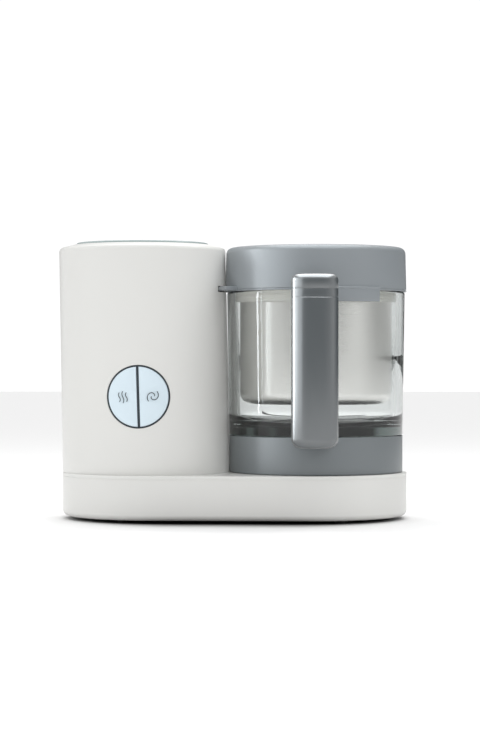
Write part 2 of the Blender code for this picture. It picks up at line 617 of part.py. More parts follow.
def make_tower(finish, origin):
    """The tower's shell and the plate inside its rim that carries the boiler and the hinge."""
    flange_z = TOWER_TOP_Z - TOWER_WALL
    rings = [tower_ring(TOWER_Z)]
    rings += [tower_ring(TOWER_TOP_Z - TOWER_EDGE_ROUND + rise, inset)
              for inset, rise in quarter(TOWER_EDGE_ROUND, 3)]
    shell = lofted("tower_shell", rings, finish["white"], origin)
    void = lofted("tower_void", [tower_ring(TOWER_Z - THROUGH, TOWER_WALL),
                                 tower_ring(flange_z, TOWER_WALL)], finish["white"], origin)
    at_bowl = empty("bowl_side", (BOWL_X, 0, 0), origin)
    boolean(void, "DIFFERENCE", bowl_clearance("inner_room", TOWER_WALL, finish["white"], at_bowl))
    mouth = cylinder("tank_mouth", TANK_LID_RADIUS + TANK_LID_MARGIN, flange_z - THROUGH,
                     TOWER_TOP_Z + THROUGH, finish["white"], origin, steps=LARGE_STEPS,
                     location=(TOWER_HIGH_X, 0, 0))
    notch_half = HINGE_KNUCKLE_WIDTH / 2 + HINGE_EAR_WIDTH + NOTCH_MARGIN
    notch = box("hinge_notch", (TOWER_HIGH_X - notch_half, HINGE_Y - HINGE_TONGUE - NOTCH_MARGIN,
                                 flange_z - THROUGH - GAP / 3),
                (TOWER_HIGH_X + notch_half, HINGE_Y + HINGE_KNUCKLE_RADIUS + THROUGH,
                 TOWER_TOP_Z + 2 * THROUGH), finish["white"], origin)
    slot_z = LID_Z + LUG_LOW
    slot = sector("lug_slot", (TOWER_RADIUS_HIGH - SLOT_DEPTH, TOWER_RADIUS_HIGH + TOWER_WALL),
                  (SLOT_START, SLOT_END), slot_z - SLOT_MARGIN,
                  slot_z + LUG_THICKNESS + SLOT_MARGIN, finish["dark"], origin,
                  location=(tower_x(slot_z), 0, 0))
    front = tower_radius(BUTTON_Z)
    button_hole = cylinder("button_hole", BUTTON_RADIUS + GAP, front - BUTTON_DEPTH - TOWER_WALL,
                           front + TOWER_WALL, finish["white"], origin, steps=BUTTON_STEPS,
                           location=(BUTTON_X, 0, BUTTON_Z), rotation=(math.pi / 2, 0, 0))
    nozzle_z = TOWER_TOP_Z - NOZZLE_DROP
    wall = tower_radius(nozzle_z)
    nozzle_hole = cylinder("nozzle_hole", NOZZLE_RADIUS + GAP, wall - NOZZLE_DEPTH,
                           wall + TOWER_WALL, finish["white"], origin, steps=SMALL_STEPS,
                           location=(tower_x(nozzle_z), 0, nozzle_z),
                           rotation=(0, math.pi / 2, NOZZLE_ANGLE))
    boolean(shell, "DIFFERENCE", bowl_clearance("outer_room", 0, finish["white"], at_bowl), void,
            mouth, notch, slot, button_hole, nozzle_hole)

    plate_z = BOILER_TOP_Z + BOILER_SEAL_HEIGHT + 2 * GAP
    plate_radius = TOWER_RADIUS_HIGH - TOWER_WALL - GAP - PLATE_INSET
    plate = tube("tower_top", TANK_PLUG_RADIUS + PLUG_MARGIN, plate_radius, plate_z,
                 plate_z + TOWER_TOP_PLATE, finish["white"], origin, steps=LARGE_STEPS,
                 location=(TOWER_HIGH_X, 0, 0))
    plate_room = bowl_clearance("plate_room", TOWER_WALL + PLATE_MARGIN, finish["white"], at_bowl)
    boolean(plate, "DIFFERENCE", plate_room)
    for side in (-1, 1):
        near = HINGE_KNUCKLE_WIDTH / 2 + RUNNING_GAP
        ends = sorted((side * near, side * (near + HINGE_EAR_WIDTH)))
        ear = box(f"ear{side}", (TOWER_HIGH_X + ends[0], HINGE_Y - HINGE_EAR_HALF, plate_z + THROUGH),
                  (TOWER_HIGH_X + ends[1], HINGE_Y + HINGE_EAR_HALF, HINGE_Z + HINGE_EAR_HALF),
                  finish["white"], origin)
        boolean(plate, "UNION", ear)
    pin_hole = cylinder("hinge_pin_hole", HINGE_PIN_RADIUS + GAP, -notch_half, notch_half, finish["white"],
                        origin, steps=SMALL_STEPS, location=(TOWER_HIGH_X, HINGE_Y, HINGE_Z),
                        rotation=(0, math.pi / 2, 0))
    boolean(plate, "DIFFERENCE", pin_hole)

    inner = tower_radius(slot_z) - TOWER_WALL - SWITCH_BEHIND
    sector("safety_switch", (inner - SWITCH_DEPTH, inner), (SLOT_START, SLOT_END),
           slot_z - SWITCH_DEPTH, slot_z + LUG_THICKNESS + SWITCH_DEPTH, finish["dark"], origin,
           steps=4,
           location=(tower_x(slot_z), 0, 0))


def make_tank_lid(finish, origin):
    """The round lid over the water tank, its seal and the hinge pin at the back."""
    hinge = empty("tank_hinge", (TOWER_HIGH_X, HINGE_Y, HINGE_Z), origin)
    back = (0, -HINGE_Y, -HINGE_Z)
    top = TOWER_TOP_Z + TANK_LID_RISE
    low = top - TANK_LID_THICKNESS
    plug = low - TANK_PLUG_DEPTH
    profile = [
        (0, plug), (TANK_PLUG_RADIUS - CHAMFER, plug), (TANK_PLUG_RADIUS, plug + CHAMFER),
        (TANK_PLUG_RADIUS, low), (TANK_LID_RADIUS - CHAMFER, low),
        (TANK_LID_RADIUS, low + CHAMFER), (TANK_LID_RADIUS, top - TANK_EDGE_ROUND),
        (TANK_LID_RADIUS - TANK_EDGE_ROUND, top), (0, top),
    ]
    lid = turned("tank_lid", profile, finish["grey"], hinge, steps=LARGE_STEPS, location=back)
    half = HINGE_KNUCKLE_WIDTH / 2
    knuckle = cylinder("lid_knuckle", HINGE_KNUCKLE_RADIUS, -half, half, finish["grey"], hinge,
                       steps=16, rotation=(0, math.pi / 2, 0))
    tongue = box("lid_tongue", (-half, -HINGE_TONGUE, low - HINGE_Z + GAP),
                 (half, 0, top - HINGE_Z - 2 * GAP),
                 finish["grey"], hinge)
    hole = cylinder("lid_pin_hole", HINGE_PIN_RADIUS + GAP, -half - THROUGH, half + THROUGH,
                    finish["grey"], hinge, steps=SMALL_STEPS, rotation=(0, math.pi / 2, 0))
    boolean(lid, "UNION", knuckle, tongue)
    boolean(lid, "DIFFERENCE", hole)
    reach = half + RUNNING_GAP + HINGE_EAR_WIDTH + LAP
    cylinder("tank_lid_pin", HINGE_PIN_RADIUS, -reach, reach, finish["steel"], hinge,
             steps=SMALL_STEPS, rotation=(0, math.pi / 2, 0))
    tube("tank_lid_seal", TANK_PLUG_RADIUS + GAP, TANK_PLUG_RADIUS + GAP + TANK_SEAL_WIDTH,
         plug + 2 * CHAMFER, low - CHAMFER, finish["rubber"], hinge, steps=LARGE_STEPS, location=back)


def make_boiler(finish, origin):
    """The steel cup that boils the water, its heater, cut-out, seal, pipe and nozzle."""
    low = BOILER_TOP_Z - BOILER_DEPTH
    middle = (TOWER_HIGH_X, 0, 0)
    flange = BOILER_RADIUS + BOILER_FLANGE
    profile = [
        (0, low), (BOILER_RADIUS - BOILER_ROUND, low), (BOILER_RADIUS, low + BOILER_ROUND),
        (BOILER_RADIUS, BOILER_TOP_Z - BOILER_WALL), (flange, BOILER_TOP_Z - BOILER_WALL),
        (flange, BOILER_TOP_Z), (BOILER_RADIUS - BOILER_WALL, BOILER_TOP_Z),
        (BOILER_RADIUS - BOILER_WALL, low + BOILER_ROUND + CHAMFER),
        (BOILER_RADIUS - BOILER_ROUND - CHAMFER, low + BOILER_WALL), (0, low + BOILER_WALL),
    ]
    turned("boiler", profile, finish["steel"], origin, steps=LARGE_STEPS, location=middle)
    tube("boiler_seal", BOILER_RADIUS + THROUGH, flange, BOILER_TOP_Z + GAP,
         BOILER_TOP_Z + GAP + BOILER_SEAL_HEIGHT, finish["rubber"], origin, steps=LARGE_STEPS,
         location=middle)
    coil = arc((HEATER_MAJOR_RADIUS, low - GAP - HEATER_TUBE_RADIUS), HEATER_TUBE_RADIUS,
               0, 2 * math.pi, 8)[:-1]
    turned("boiler_heater", coil, finish["steel"], origin, loop=True, location=middle)
    cylinder("thermostat", THERMOSTAT_RADIUS, low - GAP - THERMOSTAT_HEIGHT, low - GAP,
             finish["dark"], origin, steps=16, location=middle)

    nozzle_z = TOWER_TOP_Z - NOZZLE_DROP
    wall = tower_radius(nozzle_z)
    profile = [
        (NOZZLE_BORE, wall - NOZZLE_DEPTH), (NOZZLE_RADIUS + NOZZLE_FLANGE, wall - NOZZLE_DEPTH),
        (NOZZLE_RADIUS + NOZZLE_FLANGE, wall - TOWER_WALL - NOZZLE_FLANGE),
        (NOZZLE_RADIUS, wall - TOWER_WALL - NOZZLE_FLANGE), (NOZZLE_RADIUS, wall - NOZZLE_SUNK),
        (NOZZLE_BORE, wall - NOZZLE_SUNK),
    ]
    turned("steam_nozzle", profile, finish["rubber"], origin, steps=SMALL_STEPS, loop=True,
           location=(tower_x(nozzle_z), 0, nozzle_z), rotation=(0, math.pi / 2, NOZZLE_ANGLE))

    route = bpy.data.curves.new("steam_pipe", "CURVE")
    route.dimensions = "3D"
    route.bevel_depth = STEAM_PIPE_RADIUS
    route.bevel_resolution = 2
    route.use_fill_caps = True
    line = route.splines.new("POLY")
    reach_in = BOILER_RADIUS + STEAM_PIPE_RADIUS + GAP
    reach_out = wall - NOZZLE_DEPTH - GAP
    ends = (reach_in, reach_out)
    heights = (low + BOILER_DEPTH / 3, nozzle_z)
    steps = 8
    line.points.add(steps)
    for number in range(steps + 1):
        share = number / steps
        ease = share * share * (3 - 2 * share)
        along = ends[0] + (ends[1] - ends[0]) * max(0, 2 * share - 1) ** 2
        height = heights[0] + (heights[1] - heights[0]) * min(1, ease * 1.15)
        turn = NOZZLE_ANGLE
        point = (tower_x(nozzle_z) + along * math.cos(turn), along * math.sin(turn), height, 1)
        line.points[number].co = point
    pipe = bpy.data.objects.new("steam_pipe", route)
    route.materials.append(finish["rubber"])
    pipe.parent = origin
    bpy.context.collection.objects.link(pipe)


def make_motor(finish, origin):
    """The motor in the tower's foot, its shaft and the small pulley under the deck."""
    axis = empty("motor_axis", (MOTOR_X, 0, 0), origin)
    low = DECK_Z + GAP
    boss_low = low - MOTOR_BOSS_DEPTH
    bore = MOTOR_SHAFT_RADIUS + GAP
    shaft_top = low + SHAFT_IN_MOTOR
    profile = [
        (0, shaft_top + GAP), (bore, shaft_top + GAP), (bore, boss_low),
        (MOTOR_BOSS_RADIUS, boss_low), (MOTOR_BOSS_RADIUS, low), (MOTOR_RADIUS, low),
        (MOTOR_RADIUS, low + MOTOR_HEIGHT - MOTOR_ROUND),
        (MOTOR_RADIUS - MOTOR_ROUND, low + MOTOR_HEIGHT), (0, low + MOTOR_HEIGHT),
    ]
    turned("motor_can", profile, finish["steel"], axis)
    cylinder("motor_shaft", MOTOR_SHAFT_RADIUS, PULLEY_LOW_Z - SHAFT_BELOW_PULLEY, shaft_top, finish["steel"],
             axis, steps=SMALL_STEPS)
    turned("motor_pulley", pulley_profile(MOTOR_PULLEY_RADIUS, MOTOR_SHAFT_RADIUS),
           finish["dark"], axis, loop=True)


def pulley_profile(radius, shaft):
    """A belt pulley with a flange at each edge, bored for its shaft."""
    low = PULLEY_LOW_Z
    high = low + BELT_WIDTH + 2 * (PULLEY_FLANGE + GAP)
    lip = radius + BELT_THICKNESS + 2 * GAP
    bore = shaft + GAP
    return [
        (bore, low), (lip, low), (lip, low + PULLEY_FLANGE), (radius, low + PULLEY_FLANGE),
        (radius, high - PULLEY_FLANGE), (lip, high - PULLEY_FLANGE), (lip, high), (bore, high),
    ]


def coupling(name, low, dogs_up, turn, finish, parent):
    """A bored plate with dogs on one face; two of them interlock and part straight up."""
    plate = tube(name, SPINDLE_RADIUS + GAP, COUPLING_RADIUS, low, low + COUPLING_PLATE, finish,
                 parent)
    for number in range(DOG_COUNT):
        middle = turn + 2 * math.pi * number / DOG_COUNT
        ends = (low + COUPLING_PLATE - LAP, low + COUPLING_PLATE + DOG_HEIGHT)
        if not dogs_up:
            ends = (low - DOG_HEIGHT, low + LAP)
        dog = sector(f"{name}_dog_{number}",
                     (SPINDLE_RADIUS + DOG_INNER_MARGIN, COUPLING_RADIUS - DOG_OUTER_MARGIN),
                     (middle - DOG_SPAN / 2, middle + DOG_SPAN / 2), *ends, finish, parent,
                     steps=3)
        boolean(plate, "UNION", dog)


def make_drive(finish, origin):
    """The belt and everything it turns under the bowl: pulley, spindle, bush and coupling."""
    axis = empty("drive_axis", (BOWL_X, 0, 0), origin)
    belt_low = PULLEY_LOW_Z + PULLEY_FLANGE + GAP
    span = BOWL_X - MOTOR_X
    lean = math.asin((DRIVE_PULLEY_RADIUS - MOTOR_PULLEY_RADIUS) / span)
    outlines = []
    for growth in (GAP, GAP + BELT_THICKNESS):
        large = arc((BOWL_X, 0), DRIVE_PULLEY_RADIUS + growth, -math.pi / 2 - lean,
                    math.pi / 2 + lean, 20)
        small = arc((MOTOR_X, 0), MOTOR_PULLEY_RADIUS + growth, math.pi / 2 + lean,
                    3 * math.pi / 2 - lean, 10)
        outlines.append(large + small)
    inner, outer = outlines
    high = belt_low + BELT_WIDTH
    rings = [[(x, y, z) for x, y in line]
             for line, z in ((inner, belt_low), (outer, belt_low), (outer, high), (inner, high))]
    lofted("drive_belt", rings, finish["rubber"], origin, loop=True)
    turned("drive_pulley", pulley_profile(DRIVE_PULLEY_RADIUS, SPINDLE_RADIUS), finish["dark"],
           axis, steps=LARGE_STEPS, loop=True)
    cylinder("drive_spindle", SPINDLE_RADIUS, PULLEY_LOW_Z - SHAFT_BELOW_PULLEY,
             COUPLING_Z + COUPLING_PLATE, finish["steel"], axis, steps=16)
    boss_top = DECK_Z + BOSS_HEIGHT
    bush_low = DECK_Z - BASE_WALL - BUSH_BELOW_DECK
    bore = SPINDLE_RADIUS + RUNNING_GAP
    bush = [
        (bore, bush_low), (BUSH_RADIUS, bush_low), (BUSH_RADIUS, boss_top + GAP),
        (BUSH_RADIUS + BUSH_FLANGE_WIDTH, boss_top + GAP),
        (BUSH_RADIUS + BUSH_FLANGE_WIDTH, boss_top + GAP + BUSH_FLANGE),
        (bore, boss_top + GAP + BUSH_FLANGE),
    ]
    turned("spindle_bush", bush, finish["brass"], axis, loop=True)
    coupling("drive_coupling", COUPLING_Z + RUNNING_GAP / 2, True, 0, finish["dark"], axis)


def make_controls(finish, origin):
    """The round two-part button, its bezel, and the board with the two switches behind it."""
    facing = (math.pi / 2, 0, 0)
    front = tower_radius(BUTTON_Z)
    place = (BUTTON_X, 0, BUTTON_Z)
    back = front - BUTTON_DEPTH
    inner = BUTTON_RADIUS - BUTTON_RING
    button_back = front - BUTTON_SKIRT
    tip = button_back - PLUNGER_LENGTH - SWITCH_GAP

    def tower_face(name, growth):
        low = BUTTON_Z - BUTTON_RADIUS - BUTTON_DEPTH
        high = BUTTON_Z + BUTTON_RADIUS + BUTTON_DEPTH
        rings = [tower_ring(low, -growth), tower_ring(high, -growth)]
        return lofted(name, rings, finish["white"], origin)

    bezel = tube("button_bezel", inner, BUTTON_RADIUS, back, front + BUTTON_STOCK,
                 finish["dark"], origin, steps=BUTTON_STEPS, location=place, rotation=facing)
    plate = cylinder("bezel_plate", BUTTON_RADIUS - BUTTON_RING / 2, back, back + BEZEL_BACK,
                     finish["dark"], origin, steps=BUTTON_STEPS, location=place, rotation=facing)
    tilt = (math.pi / 2, BUTTON_TILT, 0)
    bar = box("bezel_bar", (-BUTTON_SPLIT / 2, -inner - BUTTON_RING / 2, back + LAP),
              (BUTTON_SPLIT / 2, inner + BUTTON_RING / 2, front + BUTTON_STOCK), finish["dark"], origin,
              location=place, rotation=tilt)
    boolean(bezel, "UNION", plate, bar)
    boolean(bezel, "INTERSECT", tower_face("bezel_front", BEZEL_PROUD))

    for name, switch_name, side in (("steam_button", "steam_switch", -1),
                                    ("blend_button", "blend_switch", 1)):
        radius = inner - GAP
        edge = BUTTON_SPLIT / 2 + GAP
        half = math.acos(edge / radius)
        middle = 0 if side > 0 else math.pi
        outline = arc((0, 0), radius, middle - half, middle + half, 16)
        button = prism(name, outline, button_back, front + BUTTON_STOCK,
                       finish["button"], origin, location=place, rotation=tilt)
        boolean(button, "INTERSECT", tower_face(f"{name}_front", BUTTON_PROUD))
        stem_place = (BUTTON_X + side * BUTTON_RADIUS / 2, 0, BUTTON_Z)
        stem = cylinder(f"{name}_stem", PLUNGER_RADIUS, button_back - PLUNGER_LENGTH,
                        button_back + LAP, finish["button"], origin, steps=SMALL_STEPS,
                        location=stem_place, rotation=facing)
        hole = cylinder(f"{name}_hole", PLUNGER_RADIUS + RUNNING_GAP, back - THROUGH,
                        back + BEZEL_BACK + THROUGH, finish["dark"], origin, steps=SMALL_STEPS,
                        location=stem_place, rotation=facing)
        boolean(button, "UNION", stem)
        boolean(bezel, "DIFFERENCE", hole)
        half_size = SWITCH_SIZE / 2
        box(switch_name, (-half_size, -half_size, tip - SWITCH_SIZE), (half_size, half_size, tip),
            finish["dark"], origin, location=stem_place, rotation=facing)
    board_front = tip - SWITCH_SIZE - GAP
    reach = BUTTON_RADIUS - CONTROL_BOARD_INSET
    box("control_board", (-reach, -reach, board_front - BOARD_THICKNESS),
        (reach, reach, board_front), finish["board"], origin, location=place, rotation=facing)


def make_bowl(finish, axis):
    """The glass bowl in its ring, with gasket, bearing, nut, spindle and driven coupling."""
    seat = BOWL_RADIUS_LOW - RING_WALL
    hole = BEARING_RADIUS + GAP
    inner = [(GLASS_INNER_LOW - inset, FLOOR_Z + GLASS_FLOOR_ROUND - rise)
             for inset, rise in quarter(GLASS_FLOOR_ROUND, 4)]
    glass = [
        (hole, GLASS_Z), (seat - GAP - CHAMFER, GLASS_Z), (seat - GAP, GLASS_Z + CHAMFER),
        (seat - GAP, RING_TOP_Z + GAP), (BOWL_RADIUS_LOW - CHAMFER, RING_TOP_Z + GAP),
        (BOWL_RADIUS_LOW, RING_TOP_Z + GAP + CHAMFER),
        (BOWL_RADIUS_HIGH, SHOULDER_Z - 4 * CHAMFER),
        (BOWL_RADIUS_HIGH - 2 * CHAMFER, SHOULDER_Z - CHAMFER), (NECK_RADIUS + CHAMFER, SHOULDER_Z),
        (NECK_RADIUS, SHOULDER_Z + CHAMFER), (NECK_RADIUS, GLASS_TOP_Z - CHAMFER),
        (NECK_RADIUS - CHAMFER, GLASS_TOP_Z), (GLASS_INNER_HIGH + CHAMFER, GLASS_TOP_Z),
        (GLASS_INNER_HIGH, GLASS_TOP_Z - CHAMFER), *inner, (hole, FLOOR_Z),
    ]
    turned("bowl_glass", glass, finish["glass"], axis, steps=LARGE_STEPS, loop=True)

    web_top = WEB_Z + RING_WEB
    ring = [
        (hole, WEB_Z), (seat, WEB_Z), (seat, RING_Z), (BOWL_RADIUS_LOW - CHAMFER, RING_Z),
        (BOWL_RADIUS_LOW, RING_Z + CHAMFER), (BOWL_RADIUS_LOW, RING_TOP_Z - CHAMFER),
        (BOWL_RADIUS_LOW - CHAMFER, RING_TOP_Z), (seat, RING_TOP_Z), (seat, web_top),
        (hole, web_top),
    ]
    turned("bowl_base_ring", ring, finish["grey"], axis, steps=LARGE_STEPS, loop=True)
    gasket = seat - GASKET_INSET
    tube("bowl_gasket", gasket - GASKET_WIDTH, gasket, GASKET_Z, GASKET_Z + GASKET_THICKNESS,
         finish["rubber"], axis, steps=LARGE_STEPS)

    bore = SPINDLE_RADIUS + RUNNING_GAP
    flange = FLOOR_Z + GAP
    bearing = [
        (bore, BEARING_Z), (BEARING_RADIUS, BEARING_Z), (BEARING_RADIUS, flange),
        (BEARING_FLANGE_RADIUS, flange), (BEARING_FLANGE_RADIUS, flange + BEARING_FLANGE - CHAMFER),
        (BEARING_FLANGE_RADIUS - CHAMFER, flange + BEARING_FLANGE),
        (bore, flange + BEARING_FLANGE),
    ]
    turned("bowl_bearing", bearing, finish["grey"], axis, loop=True)
    nut = arc((0, 0), LOCK_NUT_RADIUS, 0, 2 * math.pi, 8)[:-1]
    lock_nut = prism("bowl_lock_nut", nut, WEB_Z - GAP - LOCK_NUT_HEIGHT, WEB_Z - GAP,
                     finish["grey"], axis)
    boolean(lock_nut, "DIFFERENCE",
            cylinder("nut_bore", hole, WEB_Z - 2 * LOCK_NUT_HEIGHT, WEB_Z + LOCK_NUT_HEIGHT,
                     finish["grey"], axis))
    spindle_top = HUB_TOP_Z - SPINDLE_BELOW_HUB_TOP
    cylinder("bowl_spindle", SPINDLE_RADIUS, DRIVEN_Z, spindle_top, finish["steel"], axis,
             steps=16)
    coupling("driven_coupling", DRIVEN_Z, False, math.pi / DOG_COUNT, finish["dark"], axis)


def make_blade(finish, axis):
    """The hub that drops on the spindle and the two-winged blade round it."""
    bore = SPINDLE_RADIUS + GAP
    seat_z = HUB_Z + HUB_FOOT
    seat_top = seat_z + BLADE_THICKNESS
    waist = HUB_RADIUS
    hub = [
        (0, HUB_TOP_Z - HUB_ROOF), (bore, HUB_TOP_Z - HUB_ROOF), (bore, HUB_Z),
        (waist + HUB_FOOT_WIDTH, HUB_Z), (waist + HUB_FOOT_WIDTH, seat_z - GAP),
        (waist, seat_z - GAP), (waist, seat_top + HUB_SHOULDER),
        (waist - HUB_CROWN / 2, HUB_TOP_Z - HUB_CROWN / 2), (waist - HUB_CROWN, HUB_TOP_Z),
        (0, HUB_TOP_Z),
    ]
    turned("blade_hub", hub, finish["dark"], axis)
    blade = tube("blade", waist + GAP, waist + PLATE_WIDTH, seat_z, seat_top, finish["steel"], axis)
    wings = ((BLADE_TURN, BLADE_RISE_HIGH), (BLADE_TURN + math.pi, BLADE_RISE_LOW))
    for number, (turn, rise) in enumerate(wings):
        sections = []
        steps = 7
        start = waist + GAP + THROUGH
        for step in range(steps + 1):
            share = step / steps
            reach = start + (BLADE_REACH - start) * share
            width = BLADE_WIDTH * (1 - 0.75 * share ** 2)
            angle = turn + BLADE_SWEEP * share ** 1.5
            height = seat_z + GAP / 3 + rise * share ** 2
            across = (-math.sin(angle) * width / 2, math.cos(angle) * width / 2)
            middle = (reach * math.cos(angle), reach * math.sin(angle))
            thick = BLADE_THICKNESS - 2 * GAP / 3
            sections.append([
                (middle[0] - across[0], middle[1] - across[1], height),
                (middle[0] + across[0], middle[1] + across[1], height),
                (middle[0] + across[0], middle[1] + across[1], height + thick),
                (middle[0] - across[0], middle[1] - across[1], height + thick),
            ])
        wing = lofted(f"wing_{number}", sections, finish["steel"], axis)
        boolean(blade, "UNION", wing)
    clearance = cylinder("hub_room", waist + GAP, seat_z - THROUGH, seat_top + THROUGH,
                         finish["steel"], axis)
    boolean(blade, "DIFFERENCE", clearance)


def make_basket(finish, axis):
    """The steel steaming basket and the rim that hangs it from the glass."""
    high = SHOULDER_Z + BASKET_IN_NECK
    inner_radius = BASKET_RADIUS - BASKET_WALL
    outer_turn = [(BASKET_RADIUS - inset, BASKET_Z + BASKET_FLOOR_ROUND - rise)
                  for inset, rise in quarter(BASKET_FLOOR_ROUND, 4)]
    inner_round = BASKET_FLOOR_ROUND - BASKET_WALL
    inner_turn = [(inner_radius - inset, BASKET_Z + BASKET_FLOOR_ROUND - rise)
                  for inset, rise in quarter(inner_round, 4)]
    profile = [(0, BASKET_Z), *reversed(outer_turn), (BASKET_RADIUS, high),
               (inner_radius, high), *inner_turn, (0, BASKET_Z + BASKET_WALL)]
    basket = turned("basket", profile, finish["steel"], axis, steps=LARGE_STEPS)
    for number in range(BASKET_SLOTS):
        angle = 2 * math.pi * number / BASKET_SLOTS
        slot = box(f"basket_slot_{number}", (BASKET_SLOT_START, -BASKET_SLOT_WIDTH / 2, BASKET_Z - THROUGH),
                   (BASKET_SLOT_END, BASKET_SLOT_WIDTH / 2, BASKET_Z + BASKET_WALL + THROUGH),
                   finish["steel"], axis, rotation=(0, 0, angle))
        boolean(basket, "DIFFERENCE", slot)
    rim_low = SHOULDER_Z + RIM_IN_NECK - BAND_HEIGHT
    inside = BASKET_RADIUS + GAP
    outside = inside + RIM_THICKNESS
    rim = [
        (inside, rim_low), (outside - CHAMFER, rim_low), (outside, rim_low + CHAMFER),
        (outside, GLASS_TOP_Z + GAP), (NECK_RADIUS - GAP, GLASS_TOP_Z + GAP),
        (NECK_RADIUS - GAP, RIM_TOP_Z), (inside, RIM_TOP_Z),
    ]
    turned("basket_rim", rim, finish["cream"], axis, steps=LARGE_STEPS, loop=True)


def make_lid(finish, axis):
    """The lid with its lock tab and safety lug, the liner inside it and the seal below it."""
    top_round = quarter(LID_EDGE_ROUND, 3)
    crown = LID_TOP_Z
    inner_low = LID_SKIRT_RADIUS - LID_WALL
    inner_high = LID_TOP_RADIUS - LID_WALL
    profile = [(0, crown + LID_DISC_RISE), (LID_DISC_RADIUS - CHAMFER, crown + LID_DISC_RISE),
               (LID_DISC_RADIUS + CHAMFER, crown)]
    profile += [(LID_TOP_RADIUS - inset, crown - LID_EDGE_ROUND + rise - GAP)
                for inset, rise in reversed(top_round)]
    profile += [(LID_SKIRT_RADIUS, LID_Z + CHAMFER), (LID_SKIRT_RADIUS - CHAMFER, LID_Z),
                (inner_low, LID_Z), (inner_high, crown - 2 * LID_WALL),
                (inner_high - LID_WALL, crown - LID_WALL), (0, crown - LID_WALL)]
    lid = turned("lid_shell", profile, finish["grey"], axis, steps=LARGE_STEPS)
    tab_inner = LID_SKIRT_RADIUS - CHAMFER
    tab = sector("lock_tab", (tab_inner, tab_inner + TAB_THICKNESS), (TAB_START, TAB_END),
                 LID_Z - TAB_DROP, LID_Z + TAB_LAP, finish["grey"], axis, steps=6)
    lug_z = LID_Z + LUG_LOW
    lug = sector("safety_lug", (LID_SKIRT_RADIUS - LID_WALL / 2, LID_SKIRT_RADIUS + LUG_REACH),
                 (LUG_START, LUG_END), lug_z, lug_z + LUG_THICKNESS, finish["grey"], axis,
                 steps=2)
    boolean(lid, "UNION", tab, lug)
    inlet_z = TOWER_TOP_Z - NOZZLE_DROP
    inlet = cylinder("steam_inlet", INLET_RADIUS, inner_high - LINER_INSET + LINER_WALL,
                     LID_SKIRT_RADIUS + LID_WALL, finish["grey"], axis, steps=SMALL_STEPS,
                     location=(0, 0, inlet_z), rotation=(0, math.pi / 2, math.pi - NOZZLE_ANGLE))
    boolean(lid, "DIFFERENCE", inlet)

    seal_z = RIM_TOP_Z + GAP
    seal_top = seal_z + LID_SEAL_HEIGHT
    tube("lid_seal", BASKET_RADIUS + GAP + RIM_THICKNESS, inner_low - LID_SEAL_INSET, seal_z,
         seal_top, finish["rubber"], axis, steps=LARGE_STEPS)
    liner_low = seal_top + GAP
    liner_top = crown - LID_WALL - GAP
    liner_radius = inner_high - LINER_INSET
    liner_inner = liner_radius - LINER_WALL - LINER_FOOT
    liner = [
        (0, liner_top), (liner_radius, liner_top), (liner_radius, liner_low),
        (liner_inner, liner_low), (liner_inner, liner_top - LINER_WALL),
        (0, liner_top - LINER_WALL),
    ]
    turned("lid_liner", liner, finish["white"], axis, steps=LARGE_STEPS)


